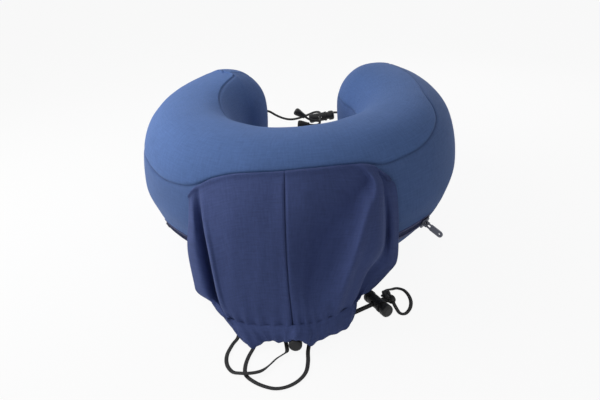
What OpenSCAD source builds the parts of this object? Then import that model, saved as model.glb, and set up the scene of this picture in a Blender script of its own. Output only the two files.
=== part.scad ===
// U shaped neck pillow: a foam core in a zipped cover, a drawstring pouch sewn into the back seam,
// and an elastic cord with a sprung lock between the two arm ends.
// The neck axis is Z, the pillow rests on Z = 0, and the arms open towards +Y.

/* [Pillow] */
// Radius of the ring's centre line about the neck
ring_r = 99; // [92:0.5:106]
// Width of the padded section, inner wall to outer wall
pad_w = 92; // [84:0.5:98]
// Height of the pillow
pad_h = 129; // [120:0.5:138]
// Height at which the section is widest
widest_z = 64.5; // [60:0.5:70]
// Angle from the nape to each arm's end
arm_angle = 128.5; // [118:0.5:134]
// Fullness of the crown, 2 is an ellipse
crown_n = 2.5; // [2:0.05:3]
// Fullness of the underside, 2 is an ellipse
belly_n = 1.65; // [1.5:0.05:2.2]
// Depth of the underside that is pressed flat
base_cut = 3.5; // [2:0.25:6]

/* [Cover] */
// Thickness of the knitted cover
cover_t = 1.2; // [0.8:0.1:1.8]
// Gap between the cover and the foam
foam_gap = 0.3; // [0.2:0.05:0.5]
// Height of the seam between top and side panels
seam_z = 99; // [92:0.5:104]
// Height of the zip and of the seam round the base panel
zip_z = 37; // [33:0.5:40]

/* [Zip] */
// Half of the angle that the zip runs round the nape
zip_half_angle = 55; // [45:0.5:62]
// Width of each woven tape
tape_w = 5.4; // [4.5:0.1:6.5]
// Thickness of the tapes
tape_t = 0.8; // [0.6:0.05:1]
// Pitch of the teeth along one tape
tooth_pitch = 3.2; // [2.6:0.1:4]
// Length of a tooth across the zip
tooth_len = 2.6; // [2:0.1:3]
// Height of a tooth over the tape
tooth_h = 0.9; // [0.6:0.05:1.2]
// Space between the two rows, where the slider's web passes
row_space = 1.2; // [1:0.05:1.6]
// Thickness of the slider's web
web_t = 0.6; // [0.4:0.05:0.7]
// Length of the slider along the zip
slider_len = 10; // [8:0.5:13]
// Width of the slider
slider_w = 8.4; // [7:0.2:10]
// Thickness of each slider plate
plate_t = 1.1; // [0.9:0.05:1.4]
// Clear space between slider and teeth
slider_clear = 0.4; // [0.3:0.05:0.6]
// Length of the pull tab from its pivot
pull_len = 17; // [14:0.5:20]
// Width of the pull tab
pull_w = 6; // [5:0.2:8]
// Thickness of the pull tab
pull_t = 1.2; // [1:0.1:1.6]

/* [Pouch] */
// Half of the angle that the pouch's top edge spans
pouch_half_angle = 32.5; // [28:0.5:36]
// Rise of the top edge above the seam that holds its ends
pouch_rise = 13.5; // [6:0.5:16]
// Thickness of the pouch cloth
cloth_t = 1; // [0.6:0.1:1.4]
// Gap between the two layers of the pouch at its middle
layer_gap = 2.6; // [1.5:0.1:3.2]
// Gap between the layers along the seams
side_gap = 0.5; // [0.4:0.1:0.8]
// Clearance between the pouch and the cover
cover_clear = 1; // [0.9:0.05:1.4]
// Half thickness of the gathered hem
hem_half_t = 2.6; // [2:0.1:3.4]
// Number of gathers along the hem
hem_gathers = 10; // [6:1:14]
// Depth of the gathers, as a share of the hem's thickness
hem_gather_share = 0.3; // [0.1:0.05:0.4]
// Height of the hem's foot above the floor
hem_foot_z = 3.6; // [3:0.1:5]
// Clearance of the hem's arch over the front lock
arch_clear = 2.8; // [2.5:0.1:5]

/* [Cord locks] */
// Outer diameter of a lock's barrel
lock_d = 10; // [9.6:0.1:12]
// Length of the barrel on the closed side of the cord hole
lock_back = 12; // [11.5:0.25:15]
// Length of the barrel on the button's side of the cord hole
lock_front = 7; // [6.5:0.25:9]
// Diameter of the bore for the button's stem
lock_bore_d = 7.8; // [7.4:0.1:8.2]
// Thickness of the barrel's closed end
lock_end_t = 2; // [1.6:0.1:2.4]
// Clearance all round the stem
stem_clear = 0.2; // [0.1:0.05:0.3]
// Travel of the button
button_travel = 2.6; // [2:0.1:2.8]
// Diameter of the button's head
button_d = 10; // [8:0.1:11]
// Length of the button's head
button_len = 5.5; // [5:0.25:8]
// Width of the cord hole along the barrel
hole_w = 4; // [3.8:0.1:4.6]
// Height of the cord hole across the barrel
hole_h = 5.4; // [5.2:0.1:5.6]
// Length of the stem behind the cord hole
stem_tail = 2.4; // [2:0.1:2.6]
// Wire diameter of the spring
wire_d = 0.6; // [0.4:0.05:0.7]
// Turns of the spring
spring_turns = 3; // [2:1:4]

/* [Cords] */
// Diameter of the round elastic between the arm ends
cord_d = 2.4; // [1.8:0.1:2.4]
// Width of the flat elastic of the pouch
elastic_w = 3.6; // [2.6:0.1:3.6]
// Thickness of the flat elastic
elastic_t = 1.2; // [0.8:0.1:1.2]
// Diameter of a cord end's wide rim
bell_d = 8; // [6.5:0.1:9]
// Length of a cord end
bell_len = 12.5; // [9:0.25:14]
// Wall of a cord end round its cord
bell_wall = 1.3; // [1:0.1:1.5]

/* [Hidden] */
$fn = 72;
cover_blue = [0.25, 0.34, 0.58];
cover_side_blue = [0.22, 0.30, 0.53];
pouch_blue = [0.21, 0.27, 0.48];
foam_cream = [0.93, 0.90, 0.80];
zip_navy = [0.13, 0.17, 0.33];
lock_black = [0.09, 0.09, 0.10];
elastic_black = [0.06, 0.06, 0.07];
pull_grey = [0.33, 0.34, 0.37];
spring_steel = [0.70, 0.71, 0.73];

half_w = pad_w / 2;
crown_h = pad_h - widest_z;
belly_h = widest_z + base_cut;
foam_inset = cover_t + foam_gap;
end_step = 0.1;
end_lap = 1;
steps = 10;

// Section of the padded ring: a superellipse, drawn in all round by an inset.
function power_of(a, n) = sign(a) * pow(abs(a), 2 / n);
function half_h(t) = sin(t) >= 0 ? crown_h : belly_h;
function fullness(t) = sin(t) >= 0 ? crown_n : belly_n;
function section_point(t, inset) = [
    (half_w - inset) * power_of(cos(t), fullness(t)),
    widest_z + (half_h(t) - inset) * power_of(sin(t), fullness(t))
];
function section_arc(from, to, inset, n) = [for (i = [0:n]) section_point(from + (to - from) * i / n, inset)];
function angle_at(z) = z >= widest_z
    ? asin(pow((z - widest_z) / crown_h, crown_n / 2))
    : -asin(pow((widest_z - z) / belly_h, belly_n / 2));
function flat_angle(inset) = asin(pow((widest_z - inset) / (belly_h - inset), belly_n / 2));
function reversed(list) = [for (i = [len(list) - 1:-1:0]) list[i]];
function ring_point(angle, radius, z) = [radius * sin(angle), -radius * cos(angle), z];
function outer_radius(z) = ring_r + section_point(angle_at(z), 0)[0];

seam_angle = angle_at(seam_z);
zip_angle = angle_at(zip_z);

// Whole section at an inset, and its outer half for the rounded arm ends.
function whole_section(inset) = concat(
    section_arc(-flat_angle(inset), 0, inset, steps), section_arc(0, 90, inset, steps),
    section_arc(90, 180, inset, steps), section_arc(180, 180 + flat_angle(inset), inset, steps));
function half_section(inset) = concat(
    [[0, inset]], section_arc(-flat_angle(inset), 0, inset, steps), section_arc(0, 90, inset, steps));
function strip(from, to, n, inset = 0) = concat(
    section_arc(from, to, inset, n), reversed(section_arc(from, to, cover_t - inset, n)));
function base_strip() = concat(
    section_arc(zip_angle, -flat_angle(0), 0, steps),
    section_arc(180 + flat_angle(0), 180 - zip_angle, 0, steps),
    section_arc(180 - zip_angle, 180 + flat_angle(cover_t), cover_t, steps),
    section_arc(-flat_angle(cover_t), zip_angle, cover_t, steps));
function base_half_strip(outside, inside) = concat(
    section_arc(zip_angle, -flat_angle(outside), outside, steps), [[0, outside], [0, inside]],
    section_arc(-flat_angle(inside), zip_angle, inside, steps));

module round_the_neck(from, to) {
    rotate([0, 0, from - 90]) rotate_extrude(angle = to - from) translate([ring_r, 0]) children();
}
// Turns a half section about each arm's end, from the outer wall (0) to the inner wall (180).
module round_the_arm_ends(from, to) {
    for (side = [-1, 1]) {
        turn = side > 0 ? arm_angle - 90 + from : 270 - arm_angle - to;
        translate(ring_point(side * arm_angle, ring_r, 0)) rotate([0, 0, turn])
            rotate_extrude(angle = to - from) children();
    }
}
module along_the_ring() {
    round_the_neck(-arm_angle, arm_angle) children();
}

// Local frame of the zip: X leaves the surface, Y climbs the section, Z runs round the neck.
zip_base = section_point(zip_angle, 0);
zip_tilt = let(a = section_point(zip_angle - 1, 0), b = section_point(zip_angle + 1, 0))
    atan2(b[1] - a[1], b[0] - a[0]) - 90;
zip_radius = ring_r + zip_base[0];
slot_half = row_space / 2 + tape_w;
slider_back = -tape_t - slider_clear - plate_t;
slider_front = tooth_h + slider_clear + plate_t;
relief_depth = -slider_back + foam_gap + slider_clear;
slider_half_angle = slider_len / 2 / zip_radius * 180 / PI;
stop_len = 1.6;
stop_angle = stop_len / zip_radius * 180 / PI;
slider_rest_angle = zip_half_angle - 2 * stop_angle - slider_half_angle;
module zip_profile() {
    translate(zip_base) rotate(zip_tilt) children();
}
module along_the_zip(extra = 0) {
    round_the_neck(-zip_half_angle - extra, zip_half_angle + extra) zip_profile() children();
}
module at_the_zip(angle) {
    rotate([0, 0, angle - 90]) translate([zip_radius, 0, zip_base[1]]) rotate([90, 0, 0])
        rotate([0, 0, zip_tilt]) children();
}
module zip_slot() {
    along_the_zip() translate([-foam_inset, -slot_half]) square([2 * foam_inset, 2 * slot_half]);
}

// Pouch: each column of cloth is a cubic curve from the back seam to the gathered hem.
// Its places, and those of its cords and locks, are measured from the outermost point of the back.
back_wall = [0, -ring_r - half_w, 0];
floor_clear = 0.3;
function mix(a, b, s) = a + (b - a) * s;
function cubic(p, s) =
    p[0] * pow(1 - s, 3) + p[1] * 3 * s * pow(1 - s, 2) + p[2] * 3 * s * s * (1 - s) + p[3] * pow(s, 3);
function unit(v) = v / norm(v);
function plan(p) = [p[0], p[1]];
hem_top = [[-49, -28, 11], [-24, -57, 15], [28, -52, 16], [61, -4, 15]];
hem_foot = [[-38, -41, hem_foot_z], [-21, -65, hem_foot_z], [28, -58, hem_foot_z], [48, -23, 4.4]];
hem_arch = lock_d + floor_clear + arch_clear - hem_foot_z;
hem_arch_at = 0.48;
hem_arch_w = 0.16;
left_belly = [[-74, 8, 83], [-103, 4, -9]];
middle_belly = [[-1, -9, 94], [2, -37, 54]];
right_belly = [[88, 5, 60], [97, 5, 28]];
function hem_lift(s) = hem_arch * exp(-pow((s - hem_arch_at) / hem_arch_w, 2));
function hem_curve(ends, s) = back_wall + cubic(ends, s) + [0, 0, hem_lift(s)];
function top_z(u) = seam_z + pouch_rise * (1 - pow(u, 4));
function over_cover(angle, z, off) =
    let(p = section_point(angle_at(z), -off)) ring_point(angle, ring_r + p[0], p[1]);
function top_edge(u) = over_cover(pouch_half_angle * u, top_z(u), cover_clear + side_gap + 2 * cloth_t);
function side_share(u) = pow(abs(u), 1.5);
function belly(u, k) =
    back_wall + mix(middle_belly[k], u < 0 ? left_belly[k] : right_belly[k], side_share(u));
function column(u) = [top_edge(u), belly(u, 0), belly(u, 1), hem_curve(hem_top, (u + 1) / 2)];
// A fold: where it lies across the pouch at the seam, halfway down and at the hem, its height and its width.
folds = [
    [-0.88, -0.74, -0.86, 5, 0.13],
    [-1.00, -0.95, -0.99, -5, 0.12],
    [0.75, 0.40, 0.24, -7, 0.18],
    [0.90, 0.66, 0.62, 5.5, 0.12],
    [1.00, 0.92, 0.95, -5, 0.09]
];
function fold_place(f, v) = f[0] * (1 - v) * (1 - 2 * v) + f[1] * 4 * v * (1 - v) + f[2] * v * (2 * v - 1);
function fold_height(u, v) = pow(sin(180 * v), 1.4)
    * [for (f = folds) f[3] * exp(-pow((u - fold_place(f, v)) / f[4], 2))] * [for (f = folds) 1];
tiny = 0.01;
function bare_point(u, v) = cubic(column(u), v);
function bare_normal(u, v) = unit(cross(
    bare_point(u, min(1, v + tiny)) - bare_point(u, max(0, v - tiny)),
    bare_point(min(1, u + tiny), v) - bare_point(max(-1, u - tiny), v)));
// Cloth that would sink into the cover lies on it instead.
function draped(p, off) = let(least = norm(plan(over_cover(0, p[2], off))), r = norm(plan(p)))
    r < least ? [p[0] * least / r, p[1] * least / r, p[2]] : p;
function folded_point(u, v) = draped(
    bare_point(u, v) + bare_normal(u, v) * fold_height(u, v), cover_clear + back_depth(u, v) + cloth_t);
function cloth_normal(u, v) = unit(cross(
    folded_point(u, min(1, v + tiny)) - folded_point(u, max(0, v - tiny)),
    folded_point(min(1, u + tiny), v) - folded_point(max(-1, u - tiny), v)));
function cloth_point(u, v, depth) = folded_point(u, v) - cloth_normal(u, v) * depth;
function cloth_grid(from, to, across, down, depth_at) = [for (i = [0:down]) [for (j = [0:across])
    let(u = from + (to - from) * j / across, v = i / down) cloth_point(u, v, depth_at(u, v))]];
function opened(u, v) = (1 - pow(abs(u), 3)) * (1 - pow(1 - v, 3));
function back_depth(u, v) = cloth_t + mix(side_gap, layer_gap, opened(u, v));
seam_slit = 0.02;
cloth_rows = 16;

// A closed sheet between two grids of points.
module thick_sheet(front, back) {
    rows = len(front);
    cols = len(front[0]);
    count = rows * cols;
    rim = concat(
        [for (j = [0:cols - 2]) j], [for (i = [0:rows - 2]) i * cols + cols - 1],
        [for (j = [cols - 1:-1:1]) (rows - 1) * cols + j], [for (i = [rows - 1:-1:1]) i * cols]);
    last = len(rim);
    polyhedron(
        points = concat([for (row = front) each row], [for (row = back) each row]),
        faces = concat(
            [for (i = [0:rows - 2]) for (j = [0:cols - 2]) let(a = i * cols + j)
                each [[a, a + 1, a + cols], [a + 1, a + cols + 1, a + cols]]],
            [for (i = [0:rows - 2]) for (j = [0:cols - 2]) let(a = count + i * cols + j)
                each [[a, a + cols, a + 1], [a + 1, a + cols, a + cols + 1]]],
            [for (k = [0:last - 1]) let(a = rim[k], b = rim[(k + 1) % last])
                each [[a, count + a, b], [b, count + a, count + b]]]));
}

// A closed tube over rings of points, capped at both ends.
module tube(rings) {
    sides = len(rings[0]);
    last = len(rings) - 1;
    polyhedron(
        points = [for (ring = rings) each ring],
        faces = concat(
            [for (k = [1:sides - 2]) [0, k, k + 1]],
            [for (k = [1:sides - 2]) [last * sides, last * sides + k + 1, last * sides + k]],
            [for (i = [0:last - 1]) for (k = [0:sides - 1])
                let(a = i * sides + k, b = i * sides + (k + 1) % sides)
                each [[a, a + sides, b], [b, a + sides, b + sides]]]));
}
function route_way(route, i) = unit(route[min(len(route) - 1, i + 1)] - route[max(0, i - 1)]);
function ring_round(centre, wide, high, half_wide, half_high, sides) = [for (k = [0:sides - 1])
    let(a = 360 * (k + 0.5) / sides) centre + wide * half_wide * cos(a) + high * half_high * sin(a)];
// A cord along a route, lying flat: wide across the route, thin upwards.
module cord(route, wide, thick) {
    tube([for (i = [0:len(route) - 1])
        let(way = route_way(route, i), across = unit(cross([0, 0, 1], way)), up = cross(way, across))
        ring_round(route[i], across, up, wide / 2, thick / 2, 8)]);
}

// Routes of the cords, chosen by hand. Those of the pouch are measured from the back wall.
function behind(route) = [for (p = route) back_wall + p];
loop_left_route = [
    [-38.5, -39.5, 4.6], [-39.5, -44, 1.6], [-42.5, -50, 0.8], [-45, -61, 0.7], [-43.5, -71, 0.7],
    [-38.5, -78.5, 1], [-32, -81.5, 2.4], [-25, -81.5, 2.4], [-18, -79, 1.4], [-12.5, -72.5, 0.7],
    [-7, -66, 0.7], [-3.5, -60, 0.8], [-4.5, -53, 2], [-4.5, -48.8, 4], [-2, -46.6, 5.2], [4.9, -46.5, 5.3]
];
loop_right_route = [
    [-24, -49, 5], [-26, -54.5, 1.8], [-29, -63.5, 0.7], [-30, -73, 0.7], [-28.5, -81.5, 0.7],
    [-22, -88, 0.7], [-14, -92.5, 0.7], [-6, -94.5, 0.7], [2, -92.5, 0.7], [9, -87, 0.7],
    [13.5, -79, 0.7], [14.5, -69, 0.7], [14, -59, 0.8], [14.5, -53, 2], [14.5, -48.8, 4],
    [12, -46.6, 5.2], [5.1, -46.5, 5.3]
];
closure_left_route = [
    [-45.4, 93.3, 71], [-42, 96.5, 71.2], [-37.5, 100.5, 69], [-32, 104, 64.4], [-25, 107, 59.8],
    [-17, 109.5, 57], [-8, 112.6, 56.8], [2, 116.6, 57.8], [9, 118.6, 58.8], [14.4, 116.8, 59.25],
    [16.5, 112, 59.25], [16.5, 105, 59.25], [16.5, 92, 59.25], [14.8, 87.6, 60.6], [10.6, 85.6, 62.2],
    [5.6, 85.2, 64], [1.4, 85.2, 67]
];
closure_right_route = [
    [45.4, 93.3, 64], [43, 96.5, 64.2], [41.6, 102, 63.4], [39.6, 108.6, 61], [35.4, 114.6, 58.8],
    [29.4, 118.2, 57.4], [22.6, 118.8, 56.75], [18.2, 116.6, 56.75], [16.5, 112, 56.75], [16.5, 105, 56.75],
    [16.5, 92, 56.75], [14.8, 87.4, 56.6], [10.6, 85, 57], [5.6, 84.6, 57.8]
];
side_ring_route = [
    [76.5, 1.5, 5.4], [77.5, 6.5, 4], [79.5, 12.5, 1.6], [84, 16.5, 0.8], [90, 13.5, 0.7], [94, 6, 0.7],
    [95.5, -2.5, 0.7], [93.5, -11, 0.7], [89, -17, 0.7], [83.5, -16.5, 1.4], [79.5, -10.5, 4],
    [77.8, -5.5, 5.4]
];

// Sprung cord locks: the barrel lies along X, the cord hole along Y.
lock_radius = lock_d / 2;
lock_bore_floor = -lock_back + lock_end_t;
stem_d = lock_bore_d - 2 * stem_clear;
stem_back = -hole_w / 2 - stem_tail;
head_front = lock_front + button_travel + stem_clear;
side_turn = 34;
side_strand_len = 20;
knot_clear = 0.8;
knot_bite = 2.5;
strand_clear = 0.15;
side_way = [cos(side_turn), sin(side_turn), 0];
side_lock_place = back_wall + [66, -8.5, lock_radius + floor_clear];
side_strand_start = side_lock_place - side_way * side_strand_len;
side_strand_end = side_lock_place + side_way * (lock_radius + knot_clear + knot_bite);
strand_rise = elastic_t / 2 + strand_clear;
side_knot_r = 5.2;
knot_lift = 0.4;
side_knot_place = side_strand_end + side_way * (side_knot_r - knot_bite)
    + [0, 0, side_knot_r - lock_radius + knot_lift];
front_lock_place = back_wall + [5, -46.5, lock_radius + floor_clear];
closure_lock_place = [16.5, 105, 58];
closure_lock_tilt = -8;
module place_closure_lock() {
    translate(closure_lock_place) rotate([0, closure_lock_tilt, 0]) children();
}
module place_side_lock() {
    translate(side_lock_place) rotate([0, 0, side_turn - 90]) children();
}
module place_front_lock() {
    translate(front_lock_place) rotate([0, 0, 90]) children();
}
module turned_on_x() {
    rotate([0, 90, 0]) rotate_extrude() children();
}
module cord_hole(length) {
    for (s = [-1, 1])
        translate([0, 0, s * (hole_h - hole_w) / 2]) rotate([90, 0, 0])
            cylinder(h = length, d = hole_w, center = true);
    cube([hole_w, length, hole_h - hole_w], center = true);
}
module lock_barrel() {
    round_r = 2;
    waist = 0.4;
    difference() {
        turned_on_x() union() {
            translate([0, -lock_back + round_r])
                square([lock_radius - waist, lock_back + lock_front - round_r]);
            translate([0, -lock_back]) square([lock_radius - round_r, 2 * round_r]);
            translate([lock_radius - round_r, -lock_back + round_r]) circle(round_r);
            translate([0, -lock_back + round_r]) square([lock_radius, round_r]);
            translate([0, lock_front - round_r]) square([lock_radius, round_r]);
        }
        translate([lock_bore_floor, 0, 0]) rotate([0, 90, 0])
            cylinder(h = lock_back + lock_front, d = lock_bore_d);
        cord_hole(2 * lock_d);
    }
}
module lock_button() {
    round_r = 2.2;
    head_back = head_front + button_len;
    difference() {
        turned_on_x() union() {
            translate([0, stem_back]) square([stem_d / 2, head_front - stem_back + 1]);
            translate([0, head_front]) square([button_d / 2, button_len - round_r]);
            translate([0, head_front]) square([button_d / 2 - round_r, button_len]);
            translate([button_d / 2 - round_r, head_back - round_r]) circle(round_r);
        }
        translate([button_travel / 2, 0, 0])
            cube([hole_w + button_travel, 2 * lock_d, hole_h], center = true);
    }
}
module lock_spring() {
    coil_r = stem_d / 2 - 0.4 - wire_d / 2;
    from = lock_bore_floor + wire_d / 2 + 0.1;
    to = stem_back - wire_d / 2 - 0.1;
    turn_rings = 8;
    count = spring_turns * turn_rings;
    tube([for (i = [0:count])
        let(a = 360 * i / turn_rings, x = from + (to - from) * i / count,
            way = unit([(to - from) / (360 * spring_turns) * 180 / PI, -coil_r * sin(a), coil_r * cos(a)]),
            out = [0, cos(a), sin(a)])
        ring_round([x, coil_r * cos(a), coil_r * sin(a)], out, cross(way, out), wire_d / 2, wire_d / 2, 6)]);
}
// A cord end: a flared cup round the cord, along X from its neck to its rim.
module cord_end() {
    neck_r = cord_d / 2 + bell_wall;
    rim_r = bell_d / 2;
    turned_on_x() polygon([
        [0, 0], [neck_r - 0.5, 0], [neck_r, 0.5], [neck_r, 2],
        [rim_r - 0.3, 0.62 * bell_len], [rim_r, 0.8 * bell_len],
        [rim_r - 0.2, bell_len - 1], [rim_r - 1.2, bell_len], [0, bell_len]]);
}

module foam_core() {
    color(foam_cream) difference() {
        union() {
            along_the_ring() polygon(whole_section(foam_inset));
            round_the_arm_ends(-end_lap, 180 + end_lap) polygon(half_section(foam_inset + end_step));
        }
        along_the_zip(1) translate([-relief_depth, -slider_w / 2 - slider_clear])
            square([2 * relief_depth, slider_w + 2 * slider_clear]);
    }
}
module top_panel() {
    color(cover_blue) union() {
        along_the_ring() polygon(strip(seam_angle, 180 - seam_angle, 2 * steps));
        round_the_arm_ends(-end_lap, 180 + end_lap) polygon(strip(seam_angle, 90, steps, end_step));
    }
}
module outer_panel() {
    color(cover_side_blue) difference() {
        union() {
            along_the_ring() polygon(strip(zip_angle, seam_angle, steps));
            round_the_arm_ends(-end_lap, 90) polygon(strip(zip_angle, seam_angle, steps, end_step));
        }
        zip_slot();
    }
}
module inner_panel() {
    color(cover_side_blue) union() {
        along_the_ring() polygon(strip(180 - seam_angle, 180 - zip_angle, steps));
        round_the_arm_ends(90, 180 + end_lap) polygon(strip(zip_angle, seam_angle, steps, end_step));
    }
}
module base_panel() {
    color(cover_side_blue) difference() {
        union() {
            along_the_ring() polygon(base_strip());
            round_the_arm_ends(-end_lap, 180 + end_lap)
                polygon(base_half_strip(end_step, cover_t - end_step));
        }
        zip_slot();
    }
}

// One tape with its row of teeth; rows on the two tapes are half a pitch apart.
module zip_chain(side, shift) {
    pitch_angle = tooth_pitch / zip_radius * 180 / PI;
    teeth = floor((2 * zip_half_angle - 6 * stop_angle) / pitch_angle) - 1;
    first = -pitch_angle * teeth / 2;
    tape_from = side > 0 ? row_space / 2 + 0.4 : -row_space / 2 - tape_w;
    tooth_from = side > 0 ? row_space / 2 : -row_space / 2 - tooth_len;
    along_the_zip($fn = 240) translate([-tape_t, tape_from]) square([tape_t, tape_w - 0.4]);
    for (i = [0:teeth - 1])
        at_the_zip(first + (i + shift) * pitch_angle)
            translate([-tape_t / 2, tooth_from, -tooth_pitch / 4])
                cube([tape_t / 2 + tooth_h, tooth_len, tooth_pitch / 2]);
}
module zip_upper_chain() {
    color(zip_navy) zip_chain(1, 0.25);
}
module zip_lower_chain() {
    color(zip_navy) zip_chain(-1, 0.75);
}
// Metal staples that close both ends of the zip.
module zip_stops() {
    color(pull_grey) for (end = [-1, 1])
        at_the_zip(end * (zip_half_angle - stop_angle)) translate([0, -tooth_len, -stop_len / 2])
            cube([tooth_h + 0.3, 2 * tooth_len, stop_len]);
}
module slider_plate() {
    a = slider_len / 2;
    b = slider_w / 2;
    linear_extrude(plate_t) polygon([
        [-a, -b + 1.4], [-a + 1.2, -b + 0.6], [a - 2, -b], [a, -b + 1.2],
        [a, b - 1.2], [a - 2, b], [-a + 1.2, b - 0.6], [-a, b - 1.4]]);
}
pivot_d = 1.3;
pivot_height = slider_front + 0.3 + pivot_d / 2;
bridge_w = 2;
bridge_t = 0.9;
bridge_half = 3;
module zip_slider() {
    web_len = slider_len * 0.6;
    bridge_top = pivot_height + pivot_d / 2 + 0.3 + bridge_t;
    color(pull_grey) at_the_zip(slider_rest_angle) rotate([0, 90, 0]) mirror([1, 0, 0]) union() {
        translate([0, 0, slider_front - plate_t]) slider_plate();
        translate([0, 0, slider_back]) slider_plate();
        translate([-web_len / 2, -web_t / 2, slider_back + plate_t / 2])
            cube([web_len, web_t, slider_front - slider_back - plate_t]);
        for (s = [-1, 1])
            translate([s * (bridge_half - bridge_t / 2), 0, slider_front - plate_t / 2])
                translate([-bridge_t / 2, -bridge_w / 2, 0])
                    cube([bridge_t, bridge_w, bridge_top - slider_front + plate_t / 2]);
        translate([-bridge_half, -bridge_w / 2, bridge_top - bridge_t])
            cube([2 * bridge_half, bridge_w, bridge_t]);
    }
}
// The pull hangs straight out of the surface: a cross pin under the bridge, two arms and a tab.
module zip_pull() {
    arm_t = 1.1;
    arm_in = bridge_w / 2 + 0.3;
    tab_from = pivot_height + 4.6;
    tab_to = pivot_height + pull_len;
    color(pull_grey) at_the_zip(slider_rest_angle) union() {
        translate([pivot_height, 0, 0]) rotate([90, 0, 0])
            cylinder(h = 2 * (arm_in + arm_t), d = pivot_d, center = true);
        for (s = [-1, 1])
            translate([pivot_height, s * (arm_in + arm_t / 2) - arm_t / 2, -pull_t / 2])
                cube([tab_from - pivot_height + 1, arm_t, pull_t]);
        difference() {
            union() {
                translate([tab_from, -pull_w / 2, -pull_t / 2])
                    cube([tab_to - tab_from - pull_w / 2, pull_w, pull_t]);
                translate([tab_to - pull_w / 2, 0, 0]) cylinder(h = pull_t, d = pull_w, center = true);
            }
            translate([tab_to - pull_w / 2, 0, 0]) cylinder(h = 2 * pull_t, d = pull_w / 3, center = true);
        }
    }
}

module pouch_front_left() {
    color(pouch_blue) thick_sheet(
        cloth_grid(-1, -seam_slit, 18, cloth_rows, function(u, v) 0),
        cloth_grid(-1, -seam_slit, 18, cloth_rows, function(u, v) cloth_t));
}
module pouch_front_right() {
    color(pouch_blue) thick_sheet(
        cloth_grid(seam_slit, 1, 18, cloth_rows, function(u, v) 0),
        cloth_grid(seam_slit, 1, 18, cloth_rows, function(u, v) cloth_t));
}
module pouch_back() {
    color(pouch_blue) thick_sheet(
        cloth_grid(-1, 1, 34, cloth_rows, function(u, v) back_depth(u, v)),
        cloth_grid(-1, 1, 34, cloth_rows, function(u, v) back_depth(u, v) + cloth_t));
}
// Gathered channel of the draw cord, a puckered roll that carries on from the cloth and narrows to its ends.
module pouch_hem() {
    rings = 4 * hem_gathers;
    lift = 0.05;
    color(pouch_blue) tube([for (i = [0:rings])
        let(s = i / rings, a = hem_curve(hem_top, s), b = hem_curve(hem_foot, s),
            way = unit(hem_curve(hem_foot, min(1, s + tiny)) - hem_curve(hem_foot, max(0, s - tiny))),
            down = b - a, out = unit(cross(way, down)), narrow = mix(0.6, 1, sqrt(sin(180 * s))),
            full = hem_half_t * narrow * (1 + hem_gather_share * cos(360 * hem_gathers * s)),
            half = norm(down) / 2 * (1 - lift))
        ring_round(a + down * (0.5 + lift / 2), unit(down), out, half, full, 12)]);
}

module pouch_loop_left() {
    color(elastic_black) cord(behind(loop_left_route), elastic_w, elastic_t);
}
module pouch_loop_right() {
    color(elastic_black) cord(behind(loop_right_route), elastic_w, elastic_t);
}
module front_lock_barrel() {
    color(lock_black) place_front_lock() lock_barrel();
}
module front_lock_button() {
    color(lock_black) place_front_lock() lock_button();
}
module front_lock_spring() {
    color(spring_steel) place_front_lock() lock_spring();
}

module side_strand(rise) {
    color(elastic_black) cord([
        side_strand_start + [0, 0, rise], mix(side_strand_start, side_strand_end, 0.5) + [0, 0, rise],
        side_strand_end + [0, 0, rise]], elastic_w, elastic_t);
}
module side_strand_upper() {
    side_strand(strand_rise);
}
module side_strand_lower() {
    side_strand(-strand_rise);
}
module side_lock_barrel() {
    color(lock_black) place_side_lock() lock_barrel();
}
module side_lock_button() {
    color(lock_black) place_side_lock() lock_button();
}
module side_lock_spring() {
    color(spring_steel) place_side_lock() lock_spring();
}
// A pulled-tight overhand knot: three turns of elastic round a core.
module side_knot() {
    turn_r = 2;
    color(elastic_black) translate(side_knot_place) rotate([0, 0, side_turn]) union() {
        for (tilt = [-28, 0, 28])
            rotate([0, tilt, tilt / 2]) rotate([0, 90, 0]) rotate_extrude()
                translate([side_knot_r - turn_r, 0]) circle(turn_r);
        sphere(r = side_knot_r - turn_r / 2);
    }
}
module side_ring() {
    color(elastic_black) cord(behind(side_ring_route), elastic_w, elastic_t);
}

module closure_cord_left() {
    color(elastic_black) cord(closure_left_route, cord_d, cord_d);
}
module closure_cord_right() {
    color(elastic_black) cord(closure_right_route, cord_d, cord_d);
}
module closure_lock_barrel() {
    color(lock_black) place_closure_lock() lock_barrel();
}
module closure_lock_button() {
    color(lock_black) place_closure_lock() lock_button();
}
module closure_lock_spring() {
    color(spring_steel) place_closure_lock() lock_spring();
}
module on_cord_tail(route) {
    tip = route[len(route) - 1];
    way = unit(tip - route[len(route) - 2]);
    translate(tip) rotate([0, 0, atan2(way[1], way[0])]) rotate([0, -asin(way[2]), 0]) children();
}
module cord_end_left() {
    color(lock_black) on_cord_tail(closure_left_route) cord_end();
}
module cord_end_right() {
    color(lock_black) on_cord_tail(closure_right_route) cord_end();
}

foam_core();
top_panel();
outer_panel();
inner_panel();
base_panel();
zip_upper_chain();
zip_lower_chain();
zip_stops();
zip_slider();
zip_pull();
pouch_front_left();
pouch_front_right();
pouch_back();
pouch_hem();
pouch_loop_left();
pouch_loop_right();
front_lock_barrel();
front_lock_button();
front_lock_spring();
side_strand_upper();
side_strand_lower();
side_lock_barrel();
side_lock_button();
side_lock_spring();
side_knot();
side_ring();
closure_cord_left();
closure_cord_right();
closure_lock_barrel();
closure_lock_button();
closure_lock_spring();
cord_end_left();
cord_end_right();
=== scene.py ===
"""Looks of a U shaped neck pillow: cover over foam, zip, drawstring pouch, elastics and sprung cord locks.

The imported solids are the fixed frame. Sizes are in metres, +Z is up and the arms open towards +Y.
"""

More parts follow.
